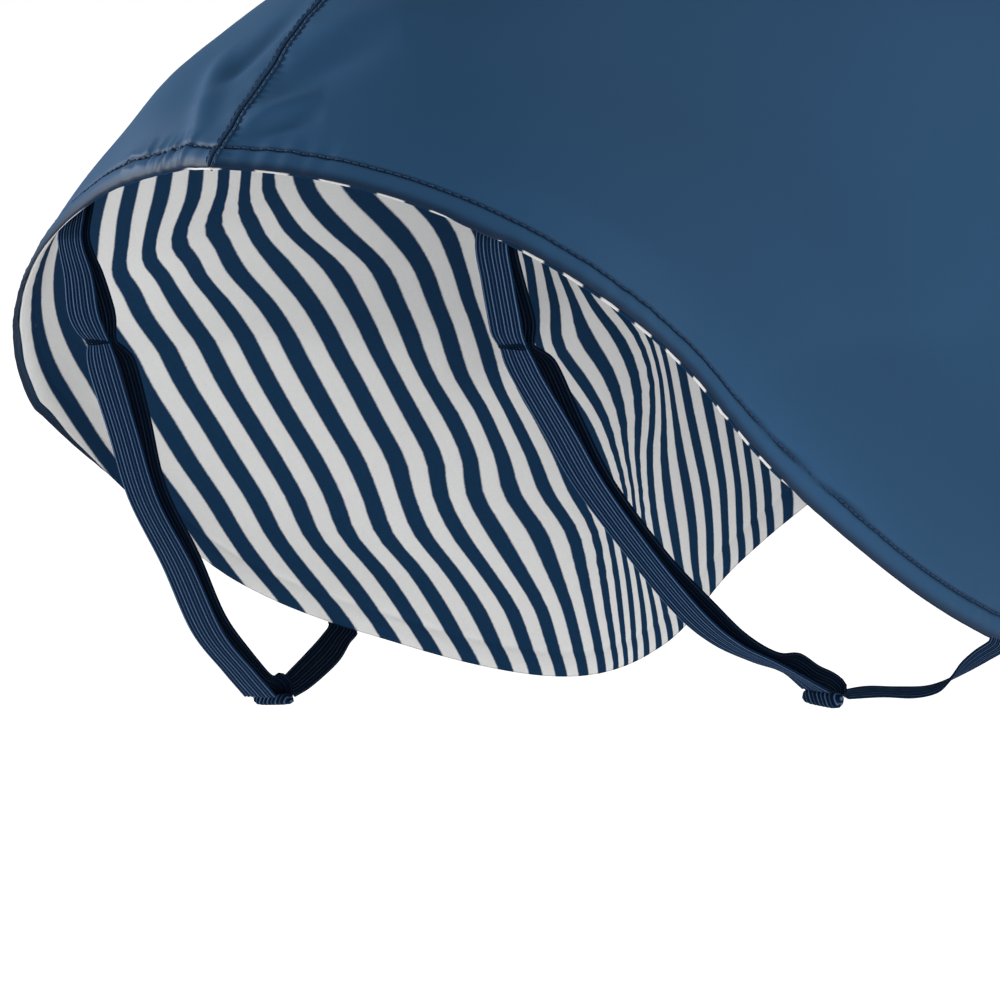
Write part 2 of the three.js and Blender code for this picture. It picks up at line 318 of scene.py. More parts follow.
ROUTES = {
    Side.LEFT: LegRoute(
        front=(
            Stop(-219, 66.5, -103.4, across=UNDER_RUMP, width=7.5, apart=1.4),
            Stop(-222.4, 66.5, -111, width=8, apart=1.6),
            Stop(-219.6, 66, -121, width=9.6, apart=2.8),
            Stop(-217.8, 66, -130, width=10.4, apart=4.8),
            Stop(-214.8, 66, -134.8, width=9.8, apart=3.8),
            Stop(-211.5, 66, -138, width=7.8, apart=1.3),
            Stop(-210.1, 66.4, -141.2, width=9.6, apart=3.6),
            Stop(-207.3, 67, -146.5, width=10.4, apart=5.2, tilt=-0.1),
            Stop(-198.6, 68.5, -160.8, apart=4.4, tilt=-0.2),
            Stop(-187.8, 70.5, -178.1, apart=2.6, tilt=-0.25),
            Stop(-168.5, 75, -195.3, width=10.5, apart=1.9, tilt=-0.25),
            Stop(-148.8, 81, -212.8, width=10.8, apart=1.7, tilt=-0.2),
            Stop(-130.1, 85.5, -223.6, width=11, apart=2.4, tilt=-0.2),
            Stop(-118, 88.3, -230.2, width=11, apart=2.5),
        ),
        loop=(
            Stop(-118.6, 87.5, -226.4, across=(0, 0.7, -0.7), width=7),
            Stop(-112.7, 88, -226.6, across=(0, 0.75, -0.66), width=7),
            Stop(-109, 88, -228.6, across=(0, 0.85, -0.5), width=7),
            Stop(-109.4, 88, -231, width=7),
        ),
        return_stretch=(
            Stop(-106.5, 88.5, -228.6, across=(0.43, -0.55, -0.7), width=6),
            Stop(-100, 89.8, -226.4, across=(0.43, -0.55, -0.7), width=7),
            Stop(-90, 93, -223.3, across=(0.6, -0.45, -0.6), width=7.8),
            Stop(-78, 98, -220, across=(0.8, -0.3, -0.45), width=9),
            Stop(-68, 103, -217, across=(0.93, -0.18, -0.3), width=9.6),
            Stop(-61.3, 106.0, -214.7, across=ALONG_HEM, width=10.5),
            Stop(-62.3, 106.5, -212.4, across=ALONG_HEM, width=10.5),
        ),
        knot=(-112.5, 88.3, -231.2),
        knot_height=3.0,
        aside=-1.2,
        slope=-0.03,
        return_shade=0.8,
    ),
    Side.RIGHT: LegRoute(
        front=(
            Stop(-216, 66.5, -102.3, across=UNDER_RUMP, width=10, apart=1.4),
            Stop(-219.5, 66.5, -111, width=10.6, apart=1.6),
            Stop(-216.5, 66, -121, width=10.6, apart=2.6),
            Stop(-213.8, 66, -130.3, width=10.6, apart=4.0),
            Stop(-212.4, 66, -134.6, width=10.4, apart=3.8),
            Stop(-209.8, 66, -137.8, width=9.2, apart=1.3),
            Stop(-208.2, 66.4, -141, width=10.2, apart=3.8),
            Stop(-205, 67, -146, width=10.4, apart=5.0, tilt=0.1),
            Stop(-194.7, 68.5, -159, width=10.8, apart=2.6, tilt=0.1),
            Stop(-184.2, 70.5, -173, width=10.8, apart=1.5, tilt=0.1),
            Stop(-167.9, 75, -191.5, apart=1.6, tilt=0.15),
            Stop(-155, 80, -205.7, apart=2.4, tilt=0.25),
            Stop(-144.5, 83, -213, width=9.4, apart=1.8, tilt=0.15),
            Stop(-133.3, 85.5, -217.4, width=8.2, apart=1.2, tilt=0.15),
            Stop(-122.6, 87.5, -221.2, across=(0, 0.97, -0.24), width=9.5, apart=2),
            Stop(-114.5, 88.3, -225.2, across=(0, 0.99, -0.1), width=9.6, apart=2),
        ),
        loop=(
            Stop(-121.5, 87, -218.7, across=(0, 0.6, 0.8), width=7),
            Stop(-114.6, 87.5, -222.2, across=(0, 0.5, 0.86), width=7.4),
            Stop(-109.4, 88, -223.7, across=(0, 0.6, 0.8), width=7),
            Stop(-105.6, 88, -225.4, across=(0, 0.85, 0.5), width=7),
            Stop(-105.4, 88, -227.2, across=(0, 0.95, 0.3), width=6.5),
        ),
        return_stretch=(
            Stop(-103.5, 88.5, -226.8, across=(0.3, -0.9, 0.25), width=6),
            Stop(-92.5, 90, -226.2, across=(0.3, -0.9, 0.25), width=9),
            Stop(-82.2, 92, -226.6, across=(0.3, -0.9, 0.25), width=9.5),
            Stop(-73.5, 94, -226, across=(0.5, -0.8, 0.12), width=9),
            Stop(-68.3, 95.8, -223.6, across=(0.788, -0.616, -0.03), width=9),
            Stop(-65, 98.5, -220.3, across=(0.9, -0.35, -0.2), width=9.5),
            Stop(-62.5, 102, -217.3, across=(0.95, -0.2, -0.24)),
            Stop(-61.3, 106.0, -214.7, across=ALONG_HEM),
            Stop(-62.3, 106.5, -212.4, across=ALONG_HEM),
        ),
        knot=(-111.6, 88.3, -227.4),
        knot_height=4.2,
        aside=1.2,
        slope=-0.14,
        return_shade=0.25,
    ),
}


@dataclass(frozen=True)
class RimStop:
    """How far a layer's rim lies in from the cut edge, at a distance along that edge.

    The distance starts at the centre back, goes down the rump hem and then along the thigh hem.
    """

    along: float
    inset: float


# The right side shows a little lining beyond the shell, and the left one shell beyond the lining.
SHELL_RIM = {
    Side.LEFT: (
        RimStop(0, 0.35),
        RimStop(54, 0.2),
        RimStop(80, -0.8),
        RimStop(105, -2.2),
        RimStop(150, -2.2),
        RimStop(175, -0.6),
        RimStop(195, 0.9),
    ),
    Side.RIGHT: (
        RimStop(0, 0.35),
        RimStop(64, 0.3),
        RimStop(68.5, -0.5),
        RimStop(79, -0.5),
        RimStop(81, 0.5),
        RimStop(96, 0.65),
        RimStop(180, 0.6),
        RimStop(194, 0),
    ),
}
LINING_RIM = {
    Side.LEFT: (RimStop(54, 0), RimStop(80, 0.4), RimStop(155, 0.6), RimStop(190, 0)),
    Side.RIGHT: (RimStop(182, 0), RimStop(196, 0.7)),
}


def smooth(a: np.ndarray, b: np.ndarray, c: np.ndarray, d: np.ndarray, part: np.ndarray) -> np.ndarray:
    """Value on a smooth curve through four even steps.

    Args:
        a, b, c, d: the values at the four steps.
        part: the place between b and c, from 0 to 1.

    Returns:
        The value there.
    """
    straight = (c - a) * part
    square = (2 * a - 5 * b + 4 * c - d) * part**2
    cube = (3 * b - a - 3 * c + d) * part**3
    return (2 * b + straight + square + cube) / 2


def sampled(rows: np.ndarray, at: np.ndarray) -> np.ndarray:
    """Rows of values read at fractional places, on smooth curves through them.

    Args:
        rows: one row of values for each whole place.
        at: the places to read, from 0 to the last row.

    Returns:
        The values at each place.
    """
    last = len(rows) - 1
    ends = np.concatenate([2 * rows[:1] - rows[1:2], rows, 2 * rows[-1:] - rows[-2:-1]])
    index = np.clip(np.floor(at).astype(int), 0, last - 1)
    part = np.clip(at, 0, last) - index
    if rows.ndim > 1:
        part = part[..., None]
    return smooth(ends[index], ends[index + 1], ends[index + 2], ends[index + 3], part)


def unit(vectors: np.ndarray) -> np.ndarray:
    """The vectors at a length of one."""
    return vectors / np.maximum(np.linalg.norm(vectors, axis=-1, keepdims=True), TINY)


def travelled(points: np.ndarray, axis: int = 0) -> np.ndarray:
    """Distance of each point from the first one, measured along the points on one axis."""
    steps = np.linalg.norm(np.diff(points, axis=axis), axis=-1)
    return np.insert(np.cumsum(steps, axis), 0, 0, axis)


def read_along(at: np.ndarray, arc: np.ndarray, values: np.ndarray) -> np.ndarray:
    """Columns of values read at distances along a line, where arc is each row's distance."""
    return np.stack([np.interp(at, arc, column) for column in values.T], -1)


def bell(distance: np.ndarray, middle: float, width: float) -> np.ndarray:
    """A smooth bump, 1 at the middle distance."""
    return np.exp(-(((distance - middle) / width) ** 2))


@dataclass(frozen=True)
class CoatForm:
    """The worn form of the coat: a point of the shell's outer face for each station and angle."""

    roundness: float = 1.86
    bow_forward: float = 10.0
    bow_sections: float = 3.0
    armhole: Armhole = Armhole()
    corner_angle: float = 5.5
    corner_reach: float = 0.12
    belly_gap: float = 0.4

    def column(self, name: str, station: np.ndarray) -> np.ndarray:
        """One column of the sections, read between them.

        Args:
            name: the column, as Section names it.
            station: the places to read.

        Returns:
            The column's value at each place.
        """
        values = np.array([getattr(section, name) for section in SECTIONS], float)
        return sampled(values, station)

    def outer(self, station: np.ndarray, angle: np.ndarray) -> np.ndarray:
        """Points of the outer face.

        Args:
            station: places along the coat.
            angle: angles round it, in radians from the centre back.

        Returns:
            Points in millimetres.
        """
        cosine, sine = np.cos(angle), np.sin(angle)
        half_width, rise = self.column("half_width", station), self.column("rise", station)
        above = cosine >= 0
        drop = np.where(above, rise * (1 - cosine), rise - self.column("under", station) * cosine)
        arch = np.clip(1 - np.abs(cosine) ** self.roundness, 0, 1) ** (1 / self.roundness)
        flap = half_width * sine - self.column("flare", station) * cosine * sine
        y = np.where(above, half_width * arch * np.sign(sine), flap)
        fade = np.clip(1 - station / self.bow_sections, 0, 1) ** 2
        bow = self.bow_forward * fade * (1 - (1 - np.abs(sine)) ** 3)
        x = self.column("x", station) + bow + self.column("lean", station) * drop
        return np.stack([x, y, self.column("z", station) - drop], -1)

    def outward(self, station: np.ndarray, angle: np.ndarray) -> np.ndarray:
        """Directions out of the cloth.

        Args:
            station: places along the coat.
            angle: angles round it, in radians.

        Returns:
            Unit vectors.
        """
        step = 0.01
        ahead = np.clip(station + step, 0, NECK)
        behind = np.clip(station - step, 0, NECK)
        forward = self.outer(ahead, angle) - self.outer(behind, angle)
        round_it = self.outer(station, angle + step) - self.outer(station, angle - step)
        return unit(np.cross(forward, round_it))

    def side_edge(self, station: np.ndarray) -> np.ndarray:
        """Angle of a side panel's lower edge, rounded off at the rump's corner.

        Args:
            station: places along the coat.

        Returns:
            Angles in radians.
        """
        corner = self.corner_angle * np.exp(-station / self.corner_reach)
        lift = self.armhole.up * self.armhole.notch(station)
        return np.radians(self.column("edge", station) - corner - lift)

    def belly_edge(self, station: np.ndarray) -> np.ndarray:
        """Angle of the belly panel's edge, a hair past the side panel's.

        Args:
            station: places along the coat.

        Returns:
            Angles in radians.
        """
        drop = self.armhole.down * self.armhole.notch(station)
        gap = self.belly_gap / self.column("half_width", station)
        return gap + np.radians(self.column("edge", station) + drop)


@dataclass(frozen=True)
class SlantedStripes:
    """Even stripes that slant up towards the head: a whole number on the middle of each pale one."""

    slant: tuple[float, float, float] = (0.70, 0.32, -0.64)
    pitch: float = 10.3
    start: float = 0.31

    def number(self, points: np.ndarray) -> np.ndarray:
        """Stripe number at each place.

        Args:
            points: places on the lining, on the left side.

        Returns:
            Numbers, whole on the middle of a pale stripe and halfway on the middle of a dark one.
        """
        return points @ np.array(self.slant) / self.pitch + self.start


@dataclass(frozen=True)
class DrapedStripes:
    """The lining's stripes as it hangs: a whole number on the middle of each pale stripe."""

    pitch: float = 12.0
    sight_shift: float = 1.28

    def number(self, points: np.ndarray) -> np.ndarray:
        """Stripe number at each place of the lining.

        Args:
            points: places on the lining before the waist fold, in millimetres.

        Returns:
            Numbers, whole on the middle of a pale stripe and halfway on the middle of a dark one.
        """
        x = points[..., 0] + self.sight_shift * WAIST_FOLD.relief(points) + PINCH.relief(points)
        heights = np.array([row.z for row in STRIPE_ROWS], float)
        rows = np.array([row.at for row in STRIPE_ROWS], float)
        step = heights[1] - heights[0]
        guides = sampled(rows, (points[..., 2] - heights[0]) / step)
        return self._between_guides(x, guides)

    def _between_guides(self, x: np.ndarray, guides: np.ndarray) -> np.ndarray:
        """Number at x on a smooth rising curve through the guides.

        Args:
            x: places along the coat.
            guides: where the guide stripes cross, for each place.

        Returns:
            The stripe numbers.
        """
        least_gap = 1.0
        numbers = np.array(GUIDE_STRIPES, float)
        gaps = np.maximum(np.diff(guides, axis=-1), least_gap)
        rate = np.diff(numbers) / gaps
        inner = 2 / (1 / rate[..., 1:] + 1 / rate[..., :-1])
        slope = np.concatenate([rate[..., :1], inner, np.full_like(rate[..., :1], 1 / self.pitch)], -1)
        index = np.clip((x[..., None] >= guides).sum(-1) - 1, 0, len(numbers) - 2)

        def pick(values: np.ndarray, at: np.ndarray) -> np.ndarray:
            """The value of each place's own guide."""
            return np.take_along_axis(values, at[..., None], -1)[..., 0]

        gap, base = pick(gaps, index), numbers[index]
        start, low, high = pick(guides, index), pick(slope, index), pick(slope, index + 1)
        part = np.clip((x - start) / gap, 0, 1)
        rise = numbers[index + 1] - base
        inside = (
            base
            + low * gap * part * (1 - part) ** 2
            + rise * part**2 * (3 - 2 * part)
            + high * gap * part**2 * (part - 1)
        )
        before = numbers[0] + (x - guides[..., 0]) * slope[..., 0]
        after = numbers[-1] + (x - guides[..., -1]) * slope[..., -1]
        return np.where(x < guides[..., 0], before, np.where(x > guides[..., -1], after, inside))


# ---------------------------------------------------------------------------------------------
# Cloth grids, edges and relief
# ---------------------------------------------------------------------------------------------


def stepped(*spans: tuple[float, int], start: float = 0.0) -> np.ndarray:
    """Places along a line, in even steps within each span.

    Args:
        spans: the end of each span and its number of steps.
        start: where the first span begins.

    Returns:
        The places in order.
    """
    places = [np.array([start])]
    for end, steps in spans:
        places.append(np.linspace(places[-1][-1], end, steps + 1)[1:])
    return np.concatenate(places)


@dataclass(frozen=True)
class Grid:
    """Stations and angles of a panel, a row for each station and a column for each line round it."""

    station: np.ndarray
    angle: np.ndarray

    def border(self, border: Border) -> tuple[np.ndarray, np.ndarray]:
        """Stations and angles along one border, on the way round the panel.

        Args:
            border: the border.

        Returns:
            Its stations and its angles.
        """
        station, angle = self.station[border.value], self.angle[border.value]
        return (station[::-1], angle[::-1]) if border.backwards else (station, angle)


@dataclass(frozen=True)
class PanelCut:
    """The cut of the panels, as grids over the coat's form.

    row_spans holds the station at the end of each span and its number of rows. Depths and steps are
    distances from the centre back seam, or from the belly seam, on a panel of the nominal depth.
    """

    form: CoatForm
    row_spans: tuple[tuple[float, int], ...] = (
        (0.35, 30),
        (1.8, 44),
        (4.3, 30),
        (5.6, 30),
        (FLANK, 20),
        (FLANK + 0.2, 9),
    )
    rows_before_arm: int = 16
    arm_rows: int = 28
    neck_band: float = 0.3
    rows_to_neck_band: int = 10
    neck_rows: int = 12
    seam_lines: tuple[float, ...] = (0, 0.25, 0.5, 0.75, 1.05, 1.35, 1.65, 2, 2.5, 3.2)
    seam_area: float = 44.0
    seam_area_step: float = 0.9
    nominal_depth: float = 240.0
    hem_depth: float = 14.4
    hem_step: float = 0.45
    belly_depth: float = 150.0
    belly_lines: int = 40

    def stations(self, first: float) -> np.ndarray:
        """Stations of the rows, closest at the rump hem, the waist fold and the leg opening.

        Args:
            first: the station that the panel starts at.

        Returns:
            The stations in order.
        """
        arm = self.form.armhole
        rows = stepped(*self.row_spans, (arm.middle - arm.reach, self.rows_before_arm))
        turn = np.linspace(0, math.pi, self.arm_rows + 1)[1:]
        rows = np.concatenate([rows, arm.middle - arm.reach * np.cos(turn)])
        to_neck = ((NECK - self.neck_band, self.rows_to_neck_band), (NECK, self.neck_rows))
        rows = np.concatenate([rows, stepped(*to_neck, start=rows[-1])[1:]])
        return rows[rows >= first - TINY]

    def side(self, spacing: float) -> Grid:
        """Grid of a side panel, from the centre back seam to its edge.

        Args:
            spacing: distance between the lines across the middle of the panel.

        Returns:
            The grid.
        """
        hem_start = self.nominal_depth - self.hem_depth
        near = np.arange(self.seam_lines[-1] + self.seam_area_step, self.seam_area, self.seam_area_step)
        first = near[-1]
        middle = np.linspace(first, hem_start, int((hem_start - first) / spacing) + 1)[1:]
        hem = np.arange(hem_start + self.hem_step, self.nominal_depth, self.hem_step)
        lines = np.concatenate([self.seam_lines, near, middle, hem, [self.nominal_depth]])
        share = lines / self.nominal_depth
        rows = self.stations(0)
        angle = self.form.side_edge(rows)[:, None] * share[None]
        return Grid(np.repeat(rows[:, None], len(share), 1), angle)

    def belly(self) -> Grid:
        """Grid of the belly panel, from the left belly seam to the right one.

        Returns:
            The grid.
        """
        near = np.arange(0, self.hem_depth, self.hem_step)
        middle = np.linspace(near[-1], self.belly_depth - near[-1], self.belly_lines)[1:-1]
        share = np.concatenate([near, middle, (self.belly_depth - near)[::-1]]) / self.belly_depth
        rows = self.stations(FLANK)
        edge = self.form.belly_edge(rows)[:, None]
        angle = edge + 2 * (math.pi - edge) * share[None]
        return Grid(np.repeat(rows[:, None], len(share), 1), angle)


@dataclass(frozen=True)
class EdgeLine:
    """A panel's cut edge: its points, the directions into the panel, its stations and its angles."""

    points: np.ndarray
    inwards: np.ndarray
    station: np.ndarray
    angle: np.ndarray

    def along(self) -> np.ndarray:
        """Distance of each point along the edge."""
        return travelled(self.points)


class EdgeField:
    """Distances from a panel's cut edge, and the way in from it, over the panel's points."""

    def __init__(self, points: np.ndarray, edge: EdgeLine) -> None:
        """Measures every point.

        Args:
            points: places on the panel, in millimetres.
            edge: the panel's cut edge.
        """
        line, arc = edge.points, edge.along()
        tree = KDTree(len(line))
        for index, place in enumerate(line):
            tree.insert(place, index)
        tree.balance()
        flat = points.reshape(-1, 3)
        nearest = np.array([tree.find(place)[1] for place in flat])
        best = np.full(len(flat), np.inf)
        best_arc = np.zeros(len(flat))
        for shift in (-1, 0):
            start = np.clip(nearest + shift, 0, len(line) - 2)
            run = line[start + 1] - line[start]
            length = np.maximum((run * run).sum(-1), TINY)
            part = np.clip(((flat - line[start]) * run).sum(-1) / length, 0, 1)
            gap = np.linalg.norm(flat - line[start] - part[:, None] * run, axis=-1)
            closer = gap < best
            best = np.where(closer, gap, best)
            best_arc = np.where(closer, arc[start] + part * np.sqrt(length), best_arc)
        shape = points.shape[:-1]
        self.distance = best.reshape(shape)
        self.arc = best_arc.reshape(shape)
        self.inwards = edge.inwards[nearest].reshape(points.shape)


@dataclass(frozen=True)
class HemRelief:
    """Relief of a topstitched hem: the stitch line's groove, the puffed fold and its puckers.

    The groove's painted shade is narrower than the groove by shade_share, and edge_shade sets the painted
    shade round the rolled edge. pucker_place and pucker_reach are shares of the inset, and swell_length
    counts slow lengths.
    """

    inset: float = 6.5
    groove: float = 0.5
    groove_width: float = 0.8
    shade_share: float = 0.8
    edge_shade: float = 0.95
    puff: float = 0.35
    roll: float = 0.5
    roll_width: float = 1.9
    pucker: float = 0.22
    pucker_length: float = 6.3
    pucker_place: float = 0.7
    pucker_reach: float = 0.75
    slow_length: float = 17.0
    slow_share: float = 0.8
    slow_start: float = 1.1
    swell_length: float = 5.3
    steady_share: float = 0.6

    def shade(self, distance: np.ndarray) -> np.ndarray:
        """Painted shade in the stitch line's groove and round the rolled edge.

        Args:
            distance: distance from the hem's edge.

        Returns:
            Shades from 0 to 1.
        """
        groove = bell(distance, self.inset, self.shade_share * self.groove_width)
        return np.maximum(groove, self.edge_shade * bell(distance, 0, self.roll_width))

    def height(self, distance: np.ndarray, arc: np.ndarray) -> np.ndarray:
        """Height over the plain cloth.

        Args:
            distance: distance from the hem's edge.
            arc: distance along it.

        Returns:
            Heights in millimetres, positive outwards.
        """
        groove = -self.groove * bell(distance, self.inset, self.groove_width)
        puff = self.puff * np.sin(np.pi * np.clip(distance / self.inset, 0, 1))
        roll = -self.roll * bell(distance, 0, self.roll_width)
        turn = 2 * np.pi * arc
        slow = self.slow_share * np.sin(turn / self.slow_length + self.slow_start)
        waves = np.sin(turn / self.pucker_length) + slow
        swell = (1 - self.steady_share) * np.sin(turn / (self.swell_length * self.slow_length))
        reach = bell(distance, self.pucker_place * self.inset, self.pucker_reach * self.inset)
        return groove + puff + roll + self.pucker * waves * (self.steady_share + swell) * reach


@dataclass(frozen=True)
class SeamRelief:
    """Relief of the centre back seam: the join's groove with a stitched ridge on each side.

    ridge_place and pucker_place are shares of the stitch row's distance, and row_dip one of the ridge.
    """

    join: float = 1.2
    join_width: float = 0.55
    join_shade: float = 1.1
    ridge: float = 0.45
    ridge_place: float = 0.55
    ridge_width: float = 0.6
    stitch_row: float = 1.35
    row_dip: float = 0.55
    row_width: float = 0.45
    row_shade: float = 0.7
    row_shade_width: float = 0.4
    pucker: float = 0.2
    pucker_length: float = 8.5
    pucker_place: float = 1.6

    def shade(self, distance: np.ndarray) -> np.ndarray:
        """Painted shade in the join's groove and beside its stitches.

        Args:
            distance: distance from the join.

        Returns:
            Shades from 0 to 1.
        """
        join = bell(distance, 0, self.join_shade * self.join_width)
        return np.maximum(join, self.row_shade * bell(distance, self.stitch_row, self.row_shade_width))

    def height(self, distance: np.ndarray, arc: np.ndarray) -> np.ndarray:
        """Height over the plain cloth.

        Args:
            distance: distance from the join.
            arc: distance along it.

        Returns:
            Heights in millimetres, positive outwards.
        """
        join = -self.join * bell(distance, 0, self.join_width)
        ridge = self.ridge * bell(distance, self.ridge_place * self.stitch_row, self.ridge_width)
        row = -self.row_dip * self.ridge * bell(distance, self.stitch_row, self.row_width)
        waves = np.sin(2 * np.pi * arc / self.pucker_length)
        pucker_middle = self.pucker_place * self.stitch_row
        return join + ridge + row + self.pucker * waves * bell(distance, pucker_middle, pucker_middle)


# ---------------------------------------------------------------------------------------------
# Mesh helpers
# ---------------------------------------------------------------------------------------------


def new_piece(
    name: str,
    points: np.ndarray,
    faces: Sequence[Sequence[int]],
    material: bpy.types.Material,
    replaces: Sequence[str] = (),
) -> bpy.types.Object:
    """Makes a smooth mesh piece that rides on the coat.

    Args:
        name: the piece's name.
        points: its vertices, in millimetres.
        faces: its faces, as vertex numbers.
        material: its material.
        replaces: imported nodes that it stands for.

    Returns:
        The piece.
    """
    mesh = bpy.data.meshes.new(name)
    mesh.from_pydata((points * MM).tolist(), [], [list(face) for face in faces])
    mesh.validate(clean_customdata=False)
    mesh.update()
    mesh.polygons.foreach_set("use_smooth", [True] * len(mesh.polygons))
    piece = bpy.data.objects.new(name, mesh)
    bpy.context.collection.objects.link(piece)
    mesh.materials.append(material)
    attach(piece, "root")
    if replaces:
        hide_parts(*replaces)
    log.info("%s: %d vertices, %d faces", name, len(mesh.vertices), len(mesh.polygons))
    return piece


def add_values(piece: bpy.types.Object, name: str, values: np.ndarray) -> None:
    """Stores one number for each vertex, for the materials to read.

    Args:
        piece: the piece.
        name: the attribute's name.
        values: one number for each vertex.
    """
    layer = piece.data.attributes.new(name, "FLOAT", "POINT")
    layer.data.foreach_set("value", np.asarray(values, np.float32).ravel())


def add_map(piece: bpy.types.Object, name: str, places: np.ndarray) -> None:
    """Adds a UV map with one place for each vertex.

    Args:
        piece: the piece.
        name: the map's name.
        places: a pair of numbers for each vertex.
    """
    layer = piece.data.uv_layers.new(name=name)
    corners = np.empty(len(piece.data.loops), np.int32)
    piece.data.loops.foreach_get("vertex_index", corners)
    layer.uv.foreach_set("vector", np.asarray(places, np.float32)[corners].ravel())


def wall_faces(rows: int, columns: int, flip: bool) -> list[tuple[int, ...]]:
    """Faces of a closed wall whose two faces are grids of the same size.

    Args:
        rows: rows of each grid.
        columns: columns of each grid.
        flip: whether to turn every face over.

    Returns:
        Quads, where the second grid's vertices follow the first's.
    """
    index = np.arange(2 * rows * columns).reshape(2, rows, columns)
    top, under = index

    def quads(a: np.ndarray, b: np.ndarray, c: np.ndarray, d: np.ndarray) -> np.ndarray:
        """Quads from four arrays of corners."""
        return np.stack([a, b, c, d], -1).reshape(-1, 4)

    parts = [
        quads(top[:-1, :-1], top[1:, :-1], top[1:, 1:], top[:-1, 1:]),
        quads(under[:-1, :-1], under[:-1, 1:], under[1:, 1:], under[1:, :-1]),
        quads(top[:-1, 0], under[:-1, 0], under[1:, 0], top[1:, 0]),
        quads(top[:-1, -1], top[1:, -1], under[1:, -1], under[:-1, -1]),
        quads(top[0, :-1], top[0, 1:], under[0, 1:], under[0, :-1]),
        quads(top[-1, :-1], under[-1, :-1], under[-1, 1:], top[-1, 1:]),
    ]
    faces = np.concatenate(parts)
    if flip:
        faces = faces[:, ::-1]
    return [tuple(face) for face in faces.tolist()]


def mirrored(points: np.ndarray, side: Side) -> np.ndarray:
    """Points of the left side, or their mirror images on the right."""
    return points * np.array([1, side.value, 1])


# ---------------------------------------------------------------------------------------------
# Finishes
# ---------------------------------------------------------------------------------------------


def linear(red: int, green: int, blue: int) -> tuple[float, float, float, float]:
    """A display colour as the linear colour that a shader takes.

    Args:
        red, green, blue: its channels, from 0 to 255.

    Returns:
        The linear channels from 0 to 1, with a full alpha.
    """

    def channel(value: float) -> float:
        """One channel."""
        share = value / 255
        return share / 12.92 if share <= 0.04045 else ((share + 0.055) / 1.055) ** 2.4

    return (channel(red), channel(green), channel(blue), 1.0)


@dataclass(frozen=True)
class NodeSheet:
    """A node tree with short ways to add and join its nodes."""

    tree: bpy.types.NodeTree

    def add(self, kind: str, **settings: object) -> bpy.types.Node:
        """Adds a node.

        Args:
            kind: the node's type without its ShaderNode prefix, or a NodeGroup type in full.
            settings: properties to set on it.

        Returns:
            The node.
        """
        prefix = "" if kind.startswith("NodeGroup") else "ShaderNode"
        node = self.tree.nodes.new(prefix + kind)
        for name, value in settings.items():
            setattr(node, name, value)
        return node

    def join(self, source: bpy.types.NodeSocket, target: bpy.types.NodeSocket) -> None:
        """Links one socket to another."""
        self.tree.links.new(source, target)

    def math(self, operation: str, *values: object) -> bpy.types.NodeSocket:
        """Adds a math node.

        Args:
            operation: what it does.
            values: its inputs, numbers or sockets.

        Returns:
            Its output.
        """
        node = self.add("Math", operation=operation)
        for socket, value in zip(node.inputs, values):
            if isinstance(value, bpy.types.NodeSocket):
                self.join(value, socket)
            else:
                socket.default_value = value
        return node.outputs[0]

    def blend(
        self, factor: bpy.types.NodeSocket, first: object, second: object
    ) -> bpy.types.NodeSocket:
        """Mixes two colours.

        Args:
            factor: how much of the second.
            first: a colour or socket.
            second: a colour or socket.

        Returns:
            The mixed colour.
        """
        factor_socket, first_colour, second_colour, mixed_colour = 0, 6, 7, 2
        node = self.add("Mix", data_type="RGBA")
        self.join(factor, node.inputs[factor_socket])
        for number, value in ((first_colour, first), (second_colour, second)):
            socket = node.inputs[number]
            if isinstance(value, bpy.types.NodeSocket):
                self.join(value, socket)
            else:
                socket.default_value = value
        return node.outputs[mixed_colour]


def open_group(
    name: str, numbers: dict[str, float], outputs: Sequence[str]
) -> tuple[NodeSheet, dict[str, bpy.types.Node]]:
    """Starts a shader node group with number inputs and number outputs.

    Args:
        name: the group's name.
        numbers: its inputs and their defaults.
        outputs: its outputs.

    Returns:
        The group's sheet, and its input and output nodes by the names "in" and "out".
    """
    tree = bpy.data.node_groups.new(name, "ShaderNodeTree")
    for socket, value in numbers.items():
        made = tree.interface.new_socket(name=socket, in_out="INPUT", socket_type="NodeSocketFloat")
        made.default_value = value
    for socket in outputs:
        tree.interface.new_socket(name=socket, in_out="OUTPUT", socket_type="NodeSocketFloat")
    sheet = NodeSheet(tree)
    return sheet, {"in": sheet.add("NodeGroupInput"), "out": sheet.add("NodeGroupOutput")}


def weave_group() -> bpy.types.NodeTree:
    """Fine threads crossing at right angles on the cloth map, as a height.

    Returns:
        The group, made once. Its height goes from 0 to 1, or a little more where it is uneven.
    """
    found = bpy.data.node_groups.get("cloth_weave")
    if found:
        return found
    noise_scale = 900
    numbers = {"Along": 1500.0, "Across": 1500.0, "Unevenness": 0.3}
    sheet, ends = open_group("cloth_weave", numbers, ["Height"])
    given = ends["in"].outputs
    place = sheet.add("UVMap", uv_map="cloth")
    axes = sheet.add("SeparateXYZ")
    sheet.join(place.outputs["UV"], axes.inputs[0])
    noise = sheet.add("TexNoise")
    noise.inputs["Scale"].default_value = noise_scale
    sheet.join(place.outputs["UV"], noise.inputs["Vector"])
    along = sheet.math("SINE", sheet.math("MULTIPLY", axes.outputs["X"], given["Along"]))
    across = sheet.math("SINE", sheet.math("MULTIPLY", axes.outputs["Y"], given["Across"]))
    crossing = sheet.math("MULTIPLY_ADD", sheet.math("MULTIPLY", along, across), 0.5, 0.5)
    uneven = sheet.math("MULTIPLY", noise.outputs["Fac"], given["Unevenness"])
    sheet.join(sheet.math("ADD", crossing, uneven), ends["out"].inputs["Height"])
    return sheet.tree


